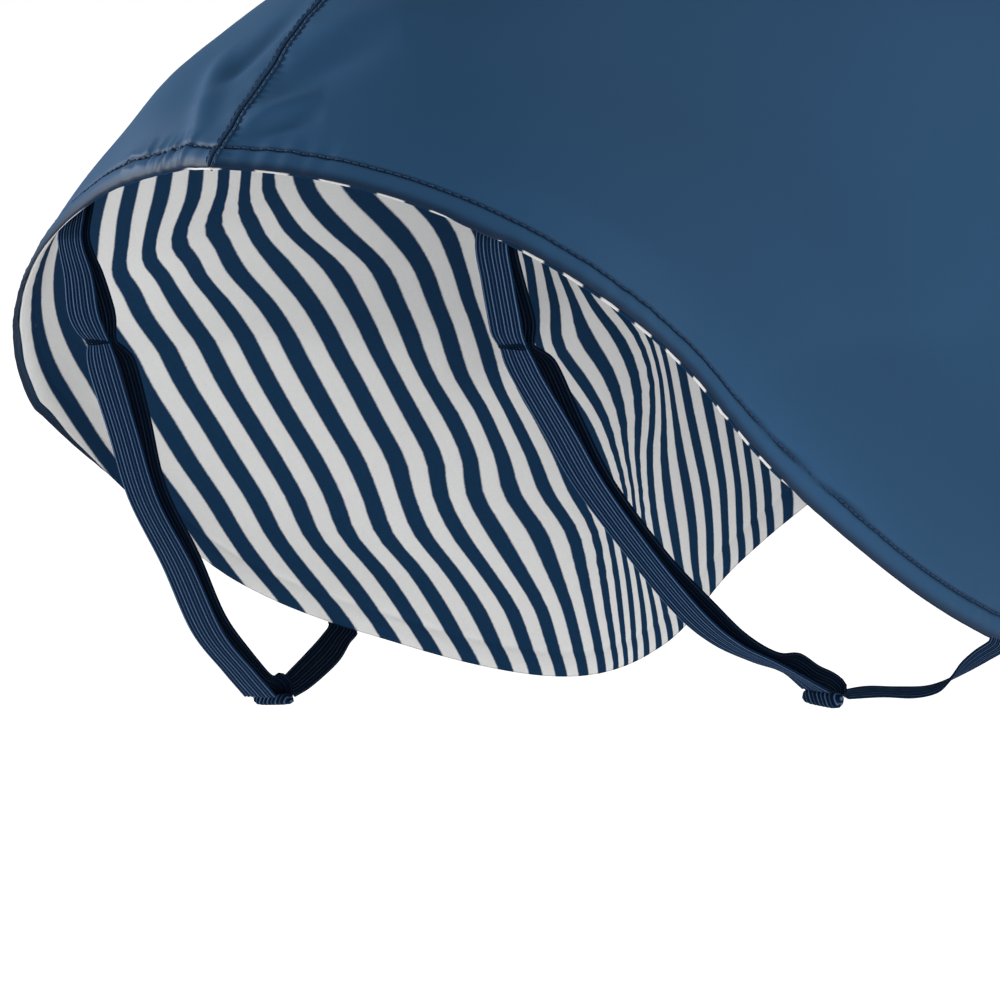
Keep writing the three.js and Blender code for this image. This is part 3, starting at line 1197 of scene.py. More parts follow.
def mottle_group() -> bpy.types.NodeTree:
    """Slow and fine unevenness of a dyed cloth, as two factors from 0 to 1.

    Returns:
        The group, made once.
    """
    found = bpy.data.node_groups.get("cloth_mottle")
    if found:
        return found
    detail = 3
    scales = {"Broad Scale": 18.0, "Fine Scale": 600.0}
    sheet, ends = open_group("cloth_mottle", scales, ["Broad", "Fine"])
    place = sheet.add("TexCoord")
    for label in ("Broad", "Fine"):
        noise = sheet.add("TexNoise")
        noise.inputs["Detail"].default_value = detail
        sheet.join(place.outputs["Object"], noise.inputs["Vector"])
        sheet.join(ends["in"].outputs[label + " Scale"], noise.inputs["Scale"])
        sheet.join(noise.outputs["Fac"], ends["out"].inputs[label])
    return sheet.tree


def start_material(name: str) -> tuple[bpy.types.Material, NodeSheet, bpy.types.Node]:
    """Starts a material.

    Args:
        name: its name.

    Returns:
        The material, its sheet and its Principled BSDF node.
    """
    material = bpy.data.materials.new(name)
    material.use_nodes = True
    sheet = NodeSheet(material.node_tree)
    return material, sheet, material.node_tree.nodes["Principled BSDF"]


def place_group(sheet: NodeSheet, tree: bpy.types.NodeTree, **values: float) -> bpy.types.Node:
    """Places a group in a material.

    Args:
        sheet: the material's sheet.
        tree: the group.
        values: its inputs, with _ for a space.

    Returns:
        The group's node.
    """
    node = sheet.add("Group", node_tree=tree)
    for name, value in values.items():
        node.inputs[name.replace("_", " ")].default_value = value
    return node


def add_bump(
    sheet: NodeSheet, shader: bpy.types.Node, height: bpy.types.NodeSocket, strength: float, depth: float
) -> None:
    """Feeds a height into the shader's normal.

    Args:
        sheet: the material's sheet.
        shader: its Principled BSDF.
        height: the height, from 0 to 1.
        strength: the bump's strength.
        depth: the height's real size, in millimetres.
    """
    bump = sheet.add("Bump")
    bump.inputs["Strength"].default_value = strength
    bump.inputs["Distance"].default_value = depth * MM
    sheet.join(height, bump.inputs["Height"])
    sheet.join(bump.outputs["Normal"], shader.inputs["Normal"])


@dataclass(frozen=True)
class CoatedCloth:
    """The shell's smooth coated cloth, with a satin shine. Its colour turns towards shade by the
    attribute of that name, a painted shade in the stitch grooves, at the seam's join and round the rolled
    hem edge.
    """

    name: str = "coated_shell"
    light: tuple[int, int, int] = (38, 74, 107)
    dark: tuple[int, int, int] = (33, 67, 99)
    # Colour of the painted shade in the grooves and round the hem's edge.
    shade: tuple[int, int, int] = (4, 18, 38)
    shade_depth: float = 0.9
    roughness: float = 0.55
    roughness_spread: float = 0.12
    specular: float = 0.14

    def make(self) -> bpy.types.Material:
        """Builds the material.

        Returns:
            The material.
        """
        material, sheet, shader = start_material(self.name)
        mottle = place_group(sheet, mottle_group(), Broad_Scale=14.0, Fine_Scale=900.0)
        weave = place_group(sheet, weave_group(), Along=9000.0, Across=9000.0, Unevenness=0.8)
        colour = sheet.blend(mottle.outputs["Broad"], linear(*self.dark), linear(*self.light))
        # Painted shade: the shade attribute darkens the colour in the grooves, beside the seam's stitches
        # and round the hem's edge.
        shade = sheet.add("Attribute", attribute_name="shade")
        shaded = sheet.math("MULTIPLY", shade.outputs["Fac"], self.shade_depth)
        sheet.join(sheet.blend(shaded, colour, linear(*self.shade)), shader.inputs["Base Color"])
        least = self.roughness - self.roughness_spread / 2
        rough = sheet.math("MULTIPLY_ADD", mottle.outputs["Broad"], self.roughness_spread, least)
        sheet.join(rough, shader.inputs["Roughness"])
        shader.inputs["Specular IOR Level"].default_value = self.specular
        grain = sheet.math("ADD", mottle.outputs["Fine"], weave.outputs["Height"])
        add_bump(sheet, shader, grain, 0.25, 0.02)
        return material


@dataclass(frozen=True)
class StripedJersey:
    """The lining's jersey, striped in two colours of equal width."""

    name: str = "striped_lining"
    pale: tuple[int, int, int] = (207, 207, 207)
    pale_shade: tuple[int, int, int] = (195, 195, 195)
    dark: tuple[int, int, int] = (20, 48, 76)
    dark_shade: tuple[int, int, int] = (13, 39, 64)
    softness: float = 0.035
    ragged: float = 0.03
    roughness: float = 0.9
    specular: float = 0.04

    def make(self) -> bpy.types.Material:
        """Builds the material.

        Returns:
            The material.
        """
        material, sheet, shader = start_material(self.name)
        number = sheet.add("Attribute", attribute_name="stripe")
        mottle = place_group(sheet, mottle_group(), Broad_Scale=60.0, Fine_Scale=1400.0)
        weave = place_group(sheet, weave_group(), Along=7800.0, Across=5600.0, Unevenness=0.5)
        noise, whole = mottle.outputs["Fine"], number.outputs["Fac"]
        ragged = sheet.math("MULTIPLY_ADD", noise, self.ragged, whole)
        from_middle = sheet.math("PINGPONG", ragged, 0.5)
        edge = 0.25
        band = sheet.add("MapRange", interpolation_type="SMOOTHSTEP")
        band.inputs["From Min"].default_value = edge - self.softness
        band.inputs["From Max"].default_value = edge + self.softness
        sheet.join(from_middle, band.inputs["Value"])
        pale = sheet.blend(noise, linear(*self.pale_shade), linear(*self.pale))
        dark = sheet.blend(noise, linear(*self.dark_shade), linear(*self.dark))
        sheet.join(sheet.blend(band.outputs["Result"], pale, dark), shader.inputs["Base Color"])
        shader.inputs["Roughness"].default_value = self.roughness
        shader.inputs["Specular IOR Level"].default_value = self.specular
        add_bump(sheet, shader, weave.outputs["Height"], 0.35, 0.06)
        return material


@dataclass(frozen=True)
class RibbedElastic:
    """Knitted elastic with raised ribs. Their crests carry a painted highlight in the ridge colour,
    uneven at random along them, and the shade attribute paints shadow by turning the colour between them
    from furrow towards deep.
    """

    name: str = "ribbed_elastic"
    # Colour of the painted highlight on the ribs' crests.
    ridge: tuple[int, int, int] = (98, 128, 162)
    furrow: tuple[int, int, int] = (6, 25, 49)
    # Colour of the painted shadow, where the shade attribute is full.
    deep: tuple[int, int, int] = (0, 6, 18)
    sharpness: float = 12.0
    # How unevenly the painted highlight shows along the ribs, and its least share.
    glint_unevenness: float = 0.5
    least_glint_share: float = 0.7
    roughness: float = 0.9
    specular: float = 0.03

    def make(self) -> bpy.types.Material:
        """Builds the material.

        Returns:
            The material.
        """
        material, sheet, shader = start_material(self.name)
        rib = sheet.add("Attribute", attribute_name="rib")
        glint = sheet.add("Attribute", attribute_name="glint")
        shade = sheet.add("Attribute", attribute_name="shade")
        mottle = place_group(sheet, mottle_group(), Broad_Scale=120.0, Fine_Scale=2200.0)
        weave = place_group(sheet, weave_group(), Along=9500.0, Across=4000.0, Unevenness=0.6)
        # Painted highlight on the crests of the ribs, strengthened by the glint attribute.
        crest = sheet.math("POWER", rib.outputs["Fac"], self.sharpness)
        lift = sheet.math("MULTIPLY", crest, glint.outputs["Fac"])
        # The painted highlight, made uneven at random along the ribs.
        glint_unevenness = sheet.math("MULTIPLY_ADD", mottle.outputs["Fine"], self.glint_unevenness, self.least_glint_share)
        worn = sheet.math("MULTIPLY", lift, glint_unevenness)
        # Painted shadow: the shade attribute turns the colour towards deep.
        furrow = sheet.blend(shade.outputs["Fac"], linear(*self.furrow), linear(*self.deep))
        sheet.join(sheet.blend(worn, furrow, linear(*self.ridge)), shader.inputs["Base Color"])
        shader.inputs["Roughness"].default_value = self.roughness
        shader.inputs["Specular IOR Level"].default_value = self.specular
        add_bump(sheet, shader, weave.outputs["Height"], 0.5, 0.12)
        return material


@dataclass(frozen=True)
class Thread:
    """Sewing thread with a slight twist."""

    name: str = "sewing_thread"
    light: tuple[int, int, int] = (44, 72, 104)
    dark: tuple[int, int, int] = (18, 40, 68)
    roughness: float = 0.6
    specular: float = 0.15

    def make(self) -> bpy.types.Material:
        """Builds the material.

        Returns:
            The material.
        """
        material, sheet, shader = start_material(self.name)
        mottle = place_group(sheet, mottle_group(), Broad_Scale=200.0, Fine_Scale=3000.0)
        colour = sheet.blend(mottle.outputs["Fine"], linear(*self.dark), linear(*self.light))
        sheet.join(colour, shader.inputs["Base Color"])
        shader.inputs["Roughness"].default_value = self.roughness
        shader.inputs["Specular IOR Level"].default_value = self.specular
        add_bump(sheet, shader, mottle.outputs["Fine"], 0.4, 0.05)
        return material


@dataclass(frozen=True)
class Finishes:
    """The coat's materials, made once."""

    shell: bpy.types.Material
    lining: bpy.types.Material
    elastic: bpy.types.Material
    thread: bpy.types.Material

    @classmethod
    def make(cls) -> "Finishes":
        """Makes them all."""
        return cls(CoatedCloth().make(), StripedJersey().make(), RibbedElastic().make(), Thread().make())


# ---------------------------------------------------------------------------------------------
# Panels
# ---------------------------------------------------------------------------------------------


@dataclass(frozen=True)
class ClothLayer:
    """Thickness and place of one layer of cloth, measured in from the coat's outer face."""

    depth: float
    thickness: float
    rim: float = 0.18

    def half(self, distance: np.ndarray) -> np.ndarray:
        """Half of the thickness, rounded off towards the cut edge.

        Args:
            distance: distance from the edge.

        Returns:
            Half thicknesses in millimetres.
        """
        near = np.clip(1 - distance / self.thickness, 0, 1)
        full = 0.5 * self.thickness * np.sqrt(1 - near * near)
        return np.maximum(full, 0.5 * self.rim)


@dataclass
class Panel:
    """One panel of cloth, as a thin closed wall over the coat's form.

    The rim is drawn in by the insets of its stops, fading out over rim_reach. wave is the share of
    the inset by which it wavers, and wave_lengths are the wavers' millimetres for each radian.
    """

    name: str
    node: str
    grid: Grid
    form: CoatForm
    layer: ClothLayer
    side: Side
    stripes: SlantedStripes | DrapedStripes = SlantedStripes()
    borders: tuple[Border, ...] = (Border.RUMP, Border.EDGE, Border.NECK)
    rim: tuple[RimStop, ...] = (RimStop(0, 0),)
    rim_reach: float = 7.0
    wave: float = 0.0
    wave_lengths: tuple[float, float] = (3.1, 11.7)
    seam: Optional[SeamRelief] = None
    hem: HemRelief = HemRelief()
    folds: tuple[Fold, ...] = ()
    inner_folds: tuple[Fold, ...] = ()
    hem_strength: float = 1.0

    def edge_line(self) -> EdgeLine:
        """The cut edge as a fine line, with the directions into the panel along the cloth.

        Returns:
            The edge.
        """
        least_step = 1e-4
        stretches = [self.grid.border(border) for border in self.borders]
        station, angle = (np.concatenate(values) for values in zip(*stretches))
        line = self.form.outer(station, angle)
        steps = np.linalg.norm(np.diff(line, axis=0), axis=1)
        keep = np.concatenate([[True], steps > least_step])
        line, station, angle = line[keep], station[keep], angle[keep]
        tangent = unit(np.gradient(line, axis=0))
        inwards = unit(np.cross(self.form.outward(station, angle), tangent))
        middle = self.form.outer(self.grid.station.mean(), self.grid.angle.mean())
        facing = ((middle - line) * inwards).sum(-1)
        if np.median(facing) < 0:
            inwards = -inwards
        return EdgeLine(line, inwards, station, angle)

    def relief(self, points: np.ndarray, edge: EdgeField, from_seam: np.ndarray) -> np.ndarray:
        """Height of folds, hem and seam over the plain form.

        Args:
            points: places on the form, on the left side.
            edge: their distances from the cut edge.
            from_seam: their distances from the centre back.

        Returns:
            Heights in millimetres, positive outwards.
        """
        placed = mirrored(points, self.side)
        height = self.hem_strength * self.hem.height(edge.distance, edge.arc)
        for fold in self.folds:
            height = height + fold.relief(placed)
        for fold in self.inner_folds:
            height = height - fold.relief(placed)
        if self.seam is not None:
            height = height + self.seam.height(from_seam, points[..., 0])
        return height

    def surface(self) -> tuple[np.ndarray, np.ndarray, EdgeField, np.ndarray]:
        """The panel's middle surface.

        Returns:
            Its points, the outward directions, the edge field and the points of the plain form.
        """
        station, angle = self.grid.station, self.grid.angle
        plain = self.form.outer(station, angle)
        outward = self.form.outward(station, angle)
        edge = EdgeField(plain, self.edge_line())
        height = self.relief(plain, edge, travelled(plain, axis=1))
        depth = self.layer.depth + 0.5 * self.layer.thickness
        pull = np.clip(1 - edge.distance / self.rim_reach, 0, 1) ** 2
        inset = np.interp(edge.arc, [s.along for s in self.rim], [s.inset for s in self.rim])
        quick, slow = self.wave_lengths
        uneven = self.wave * inset * np.sin(edge.arc / quick) * np.sin(edge.arc / slow)
        roll = (inset + uneven) * pull
        middle = plain + outward * (height - depth)[..., None] + edge.inwards * roll[..., None]
        return middle, outward, edge, plain

    def shade(self, plain: np.ndarray, edge: EdgeField) -> np.ndarray:
        """How much painted shade each place gets, in a stitch line's groove, round the hem's edge or at
        the join.

        Args:
            plain: places on the form, on the left side.
            edge: their distances from the cut edge.

        Returns:
            Shades from 0 to 1.
        """
        shade = self.hem.shade(edge.distance)
        if self.seam is not None:
            shade = np.maximum(shade, self.seam.shade(np.abs(plain[..., 1])))
        return shade

    def build(self, material: bpy.types.Material, slot: Slot) -> bpy.types.Object:
        """Makes the panel.

        Args:
            material: its finish.
            slot: its material slot, not used.

        Returns:
            The piece.
        """
        middle, outward, edge, plain = self.surface()
        half = self.layer.half(edge.distance)[..., None]
        faces = np.stack([middle + outward * half, middle - outward * half])
        points = mirrored(faces.reshape(-1, 3), self.side)
        walls = wall_faces(*self.grid.station.shape, flip=self.side is Side.RIGHT)
        piece = new_piece(self.name, points, walls, material, [self.node])
        self._add_maps(piece, plain)
        # Painted shade of the grooves, the join and the hem's edge, which the shell's finish reads.
        shade = self.shade(plain, edge).ravel()
        add_values(piece, "shade", np.concatenate([shade, shade]))
        self._declare(plain)
        return piece

    def _add_maps(self, piece: bpy.types.Object, plain: np.ndarray) -> None:
        """Adds the stripe numbers, the cloth map in metres and the map named OFBake, which lays the two
        faces side by side.

        Args:
            piece: the panel's piece.
            plain: the points of its form.
        """
        along, around = travelled(plain, axis=0), travelled(plain, axis=1)
        cloth = np.stack([along, around], -1).reshape(-1, 2) * MM
        add_map(piece, "cloth", np.concatenate([cloth, cloth]))
        middle_line = along[:, along.shape[1] // 2]
        u = np.repeat((middle_line / middle_line[-1])[:, None], plain.shape[1], 1)
        v = np.repeat(np.linspace(0, 1, plain.shape[1])[None], plain.shape[0], 0)
        margin, half = 0.01, 0.5
        u, v = margin + u * (1 - 2 * margin), margin + v * (half - 2 * margin)
        outer = np.stack([u, v], -1).reshape(-1, 2)
        add_map(piece, "OFBake", np.concatenate([outer, outer + np.array([0, half])]))
        stripe = self.stripes.number(plain).ravel()
        add_values(piece, "stripe", np.concatenate([stripe, stripe]))

    def _declare(self, plain: np.ndarray) -> None:
        """Args:
            plain: the points of its form.
        """
        one, other = plain[1:, 1:] - plain[:-1, :-1], plain[1:, :-1] - plain[:-1, 1:]
        area = 0.5 * np.linalg.norm(np.cross(one, other), axis=-1).sum() * MM * MM
        along = np.linalg.norm(np.diff(plain, axis=0), axis=-1).sum(0).max() * MM
        around = np.linalg.norm(np.diff(plain, axis=1), axis=-1).sum(1).max() * MM
        area = min(area, along * around)
        log.info("%s: flat %.3f by %.3f m, %.4f m2", self.name, around, along, area)


# ---------------------------------------------------------------------------------------------
# Stitching
# ---------------------------------------------------------------------------------------------


@dataclass(frozen=True)
class Stitching:
    """A row of stitches: short rods of thread that dip into the cloth at both ends.

    profile holds, for each ring of a rod, the share of the length from the middle, the height over
    the cloth and the share of the radius.
    """

    pitch: float = 2.3
    length: float = 1.85
    radius: float = 0.25
    sides: int = 5
    lift: float = 0.28
    profile: tuple[tuple[float, float, float], ...] = (
        (-0.5, -0.22, 0.5),
        (-0.32, 0.1, 1.0),
        (0.32, 0.1, 1.0),
        (0.5, -0.22, 0.5),
    )
    look_ahead: float = 0.3

    def mesh(
        self, line: np.ndarray, outward: np.ndarray
    ) -> tuple[np.ndarray, list[tuple[int, ...]]]:
        """Rods along a line.

        Args:
            line: points of the stitch line on the cloth's face, in millimetres.
            outward: directions out of the cloth there.

        Returns:
            Vertices and faces.
        """
        arc = travelled(line)
        count = int(arc[-1] / self.pitch)
        middles = (np.arange(count) + 0.5) * self.pitch
        turn = np.linspace(0, 2 * np.pi, self.sides, endpoint=False)
        rings = []
        for share, height, thick in self.profile:
            at = middles + share * self.length
            normal = unit(read_along(at, arc, outward))
            ahead = read_along(at + self.look_ahead, arc, line)
            behind = read_along(at - self.look_ahead, arc, line)
            across = unit(np.cross(normal, unit(ahead - behind)))
            centre = read_along(at, arc, line) + normal * (self.lift + height)
            ring = (
                centre[:, None]
                + across[:, None] * (np.cos(turn) * self.radius * thick)[None, :, None]
                + normal[:, None] * (np.sin(turn) * self.radius * thick)[None, :, None]
            )
            rings.append(ring)
        points = np.stack(rings, 1).reshape(-1, 3)
        faces = []
        per_stitch = len(self.profile) * self.sides
        for first in range(0, count * per_stitch, per_stitch):
            for ring in range(len(self.profile) - 1):
                for k in range(self.sides):
                    a = first + ring * self.sides + k
                    b = first + ring * self.sides + (k + 1) % self.sides
                    faces.append((a, b, b + self.sides, a + self.sides))
            faces.append(tuple(first + k for k in reversed(range(self.sides))))
            faces.append(tuple(first + per_stitch - self.sides + k for k in range(self.sides)))
        return points, faces


@dataclass(frozen=True)
class StitchRow:
    """A row of stitches at a distance in from the cut edge, or beside the centre back seam."""

    inset: float
    beside_seam: bool = False


@dataclass(frozen=True)
class StitchedPanel:
    """Rows of stitches on the outer face of a panel, as one piece. seam_start is a station."""

    panel: Panel
    rows: tuple[StitchRow, ...]
    seam_start: float = 0.04
    tries: int = 4

    def row_line(self, row: StitchRow) -> tuple[np.ndarray, np.ndarray]:
        """A row's points on the panel's face, with the directions out of the cloth.

        Args:
            row: the row.

        Returns:
            The points and the directions.
        """
        form, grid, layer = self.panel.form, self.panel.grid, self.panel.layer
        edge = self.panel.edge_line()
        if row.beside_seam:
            station = grid.station[:, 0]
            station = station[station >= self.seam_start]
            angle = np.zeros_like(station)
            target = form.outer(station, angle) + np.array([0, row.inset, 0])
        else:
            station, angle = edge.station, edge.angle
            target = edge.points + edge.inwards * row.inset
        for _ in range(self.tries):
            station, angle = self._closer(target, station, angle)
        plain = form.outer(station, angle)
        height = self.panel.relief(plain, EdgeField(plain, edge), np.abs(plain[:, 1]))
        outward = form.outward(station, angle)
        return plain + outward * (height - layer.depth)[:, None], outward

    def _closer(
        self, target: np.ndarray, station: np.ndarray, angle: np.ndarray
    ) -> tuple[np.ndarray, np.ndarray]:
        """One step of moving places on the form towards target points.

        Args:
            target: the points to come close to.
            station: the places' stations.
            angle: the places' angles.

        Returns:
            Better stations and angles.
        """
        # The gap to the target is split over the form's two directions there, which may be askew.
        step, least_spread = 1e-3, 1e-9
        form = self.panel.form
        here = form.outer(station, angle)
        by_station = (form.outer(np.minimum(station + step, NECK), angle) - here) / step
        at_end = station + step > NECK
        back = (here - form.outer(station - step, angle)) / step
        by_station = np.where(at_end[:, None], back, by_station)
        by_angle = (form.outer(station, angle + step) - here) / step
        gap = target - here
        aa, bb = (by_station**2).sum(-1), (by_angle**2).sum(-1)
        ab = (by_station * by_angle).sum(-1)
        ga, gb = (gap * by_station).sum(-1), (gap * by_angle).sum(-1)
        spread = np.maximum(aa * bb - ab * ab, least_spread)
        station = station + (ga * bb - gb * ab) / spread
        angle = angle + (gb * aa - ga * ab) / spread
        return np.clip(station, 0, NECK), angle

    def build(self, name: str, material: bpy.types.Material) -> bpy.types.Object:
        """Makes all the rows as one piece.

        Args:
            name: the piece's name.
            material: the thread.

        Returns:
            The piece.
        """
        all_points, all_faces, count = [], [], 0
        for row in self.rows:
            line, outward = self.row_line(row)
            points, faces = Stitching().mesh(line, outward)
            all_points.append(points)
            all_faces.extend(tuple(corner + count for corner in face) for face in faces)
            count += len(points)
        points = mirrored(np.concatenate(all_points), self.panel.side)
        if self.panel.side is Side.RIGHT:
            all_faces = [face[::-1] for face in all_faces]
        return new_piece(name, points, all_faces, material)


# ---------------------------------------------------------------------------------------------
# Leg elastics
# ---------------------------------------------------------------------------------------------


def back_layer(route: LegRoute) -> tuple[Stop, ...]:
    """Stops of the back layer, which stands off the front one and then goes round its loop.

    Args:
        route: the side's routes.

    Returns:
        The stops.
    """
    kept = route.front[:-2]
    centre = np.array([[stop.x, stop.y, stop.z] for stop in route.front])
    across = np.array([stop.across for stop in route.front])
    face = unit(np.cross(unit(np.gradient(centre, axis=0)), across))
    stops = []
    for stop, place, out in zip(kept, centre, face):
        turned = np.array(stop.across) + np.array([0, 0, stop.tilt])
        x, y, z = place + out * stop.apart + unit(turned) * route.aside
        stops.append(replace(stop, x=x, y=y, z=z, across=tuple(turned)))
    return tuple(stops) + route.loop


# How strong the painted highlight on each rib of the elastic is, from one edge to the other.
RIB_GLINTS = (0.75, 0.35, 0.9, 0.3, 0.8, 0.55, 0.9, 0.4, 1.0)


def rib_glints(share: np.ndarray, shade: float) -> np.ndarray:
    """How strong the painted highlight on the ribs is at places across the elastic.

    Args:
        share: the places, from 0 to 1.
        shade: the part's painted shade, from 0 to 1, which dims the highlight.

    Returns:
        The highlight's strength at each place, from 0 to 1.
    """
    number = np.clip(share * len(RIB_GLINTS), 0, len(RIB_GLINTS) - 1).astype(int)
    return np.array(RIB_GLINTS)[number] * (1 - shade)


@dataclass(frozen=True)
class ElasticBand:
    """A length of flat ribbed elastic along a route. shade is its painted shade, from 0 to 1, which
    darkens it and dims its rib highlights where it lies in shadow.
    """

    route: tuple[Stop, ...]
    side: Side
    shade: float = 0.0
    thickness: float = 0.9
    ribs: int = 9
    rib_height: float = 0.26
    lines_per_rib: int = 5
    spacing: float = 1.5
    fine_places: int = 400
    edge_power: int = 12
    least_edge: float = 0.25
    usual_width: float = 10.0

    def frames(self) -> tuple[np.ndarray, np.ndarray, np.ndarray, np.ndarray]:
        """Middle line of the band with the directions across it and out of its face.

        Returns:
            Centres, directions across, directions out of the face, and widths.
        """
        rows = np.array([[s.x, s.y, s.z, *s.across, s.width] for s in self.route], float)
        fine = sampled(rows, np.linspace(0, len(rows) - 1, self.fine_places))
        arc = travelled(fine[:, :3])
        fine = read_along(np.linspace(0, arc[-1], int(arc[-1] / self.spacing) + 1), arc, fine)
        centre, across = fine[:, :3], unit(fine[:, 3:6])
        face = unit(np.cross(unit(np.gradient(centre, axis=0)), across))
        return centre, across, face, fine[:, 6]

    def build(
        self, name: str, material: bpy.types.Material, nodes: Sequence[str]
    ) -> bpy.types.Object:
        """Makes the band.

        Args:
            name: the piece's name.
            material: its finish.
            nodes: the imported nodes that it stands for.

        Returns:
            The piece.
        """
        centre, across, face, width = self.frames()
        columns = self.ribs * self.lines_per_rib + 1
        share = np.linspace(-0.5, 0.5, columns)
        rib = np.abs(np.sin(np.pi * self.ribs * (share + 0.5)))
        edge = np.sqrt(np.clip(1 - (2 * np.abs(share)) ** self.edge_power, 0, 1))
        full = 0.5 * self.thickness - self.rib_height * (1 - rib)
        half = full * np.maximum(edge, self.least_edge)
        sheet = centre[:, None] + across[:, None] * (share[None] * width[:, None])[..., None]
        top = sheet + face[:, None] * half[None, :, None]
        under = sheet - face[:, None] * half[None, :, None]
        points = mirrored(np.stack([top, under]).reshape(-1, 3), self.side)
        walls = wall_faces(len(centre), columns, flip=self.side is Side.RIGHT)
        piece = new_piece(name, points, walls, material, nodes)
        add_values(piece, "rib", np.tile(rib, 2 * len(centre)))
        # Painted highlight on the ribs, and painted shade over the whole band.
        add_values(piece, "glint", np.tile(rib_glints(share + 0.5, self.shade), 2 * len(centre)))
        add_values(piece, "shade", np.full(2 * len(centre) * columns, self.shade))
        arc = np.arange(len(centre)) * self.spacing * MM
        along = np.repeat(arc[:, None], columns, 1)
        over = np.repeat((share * self.usual_width * MM)[None], len(arc), 0)
        cloth = np.stack([along, over], -1).reshape(-1, 2)
        add_map(piece, "cloth", np.concatenate([cloth, cloth]))
        return piece


@dataclass(frozen=True)
class ElasticKnot:
    """The wrapped end that holds both layers and the return together.

    cloth_reach is the span of the cloth map along the knot and for each radian round it, in metres.
    """

    side: Side
    length: float = 11.6
    depth: float = 4.6
    ribs: int = 9
    rib_height: float = 0.24
    lean: float = 0.07
    # Painted shade, which darkens the knot and dims its rib highlights.
    shade: float = 0.4
    end_size: float = 0.25
    end_power: int = 5
    corner_power: int = 3
    sway: float = 0.5
    rows: int = 91
    columns: int = 48
    cloth_reach: tuple[float, float] = (0.006, 0.002)

    def build(self, name: str, material: bpy.types.Material, node: str) -> bpy.types.Object:
        """Makes the knot: a flat bundle whose ribs go round it and lean a little.

        Args:
            name: the piece's name.
            material: its finish.
            node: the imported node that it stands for.

        Returns:
            The piece.
        """
        route = ROUTES[self.side]
        along = np.linspace(-1, 1, self.rows)[:, None]
        round_it = np.linspace(0, 2 * np.pi, self.columns, endpoint=False)[None]
        taper = np.clip(1 - np.abs(along) ** self.end_power, 0, 1) ** 0.5
        swell = self.end_size + (1 - self.end_size) * taper
        share = 0.5 * (1 + along) + self.lean * np.sin(round_it)
        rib = np.abs(np.sin(np.pi * self.ribs * share))
        grow = swell + self.rib_height * (rib - 1) / (0.5 * route.knot_height)
        cosine, sine = np.cos(round_it), np.sin(round_it)
        power = self.corner_power
        square = (np.abs(cosine) ** power + np.abs(sine) ** power) ** (-1 / power)
        x = 0.5 * self.depth * grow * square * cosine
        z = 0.5 * route.knot_height * grow * square * sine
        y = along * 0.5 * self.length + self.sway * sine * np.abs(along) ** 3
        points = np.stack([x, y, z + route.slope * y], -1).reshape(-1, 3) + np.array(route.knot)
        index = np.arange(self.rows * self.columns).reshape(self.rows, self.columns)
        following = np.roll(index, -1, 1)
        quads = np.stack([index[:-1], index[1:], following[1:], following[:-1]], -1).reshape(-1, 4)
        faces = [tuple(quad) for quad in quads.tolist()]
        faces.append(tuple(index[0].tolist()))
        faces.append(tuple(index[-1][::-1].tolist()))
        if self.side is Side.RIGHT:
            faces = [face[::-1] for face in faces]
        placed = mirrored(points, self.side)
        piece = new_piece(name, placed, faces, material, [node])
        add_values(piece, "rib", rib.ravel())
        # Painted highlight on the knot's ribs, and painted shade over it.
        add_values(piece, "glint", rib_glints(share, self.shade).ravel())
        add_values(piece, "shade", np.full(rib.size, self.shade))
        length, girth = self.cloth_reach
        cloth = np.stack(np.broadcast_arrays(along * length, round_it * girth), -1)
        add_map(piece, "cloth", cloth.reshape(-1, 2))
        return piece


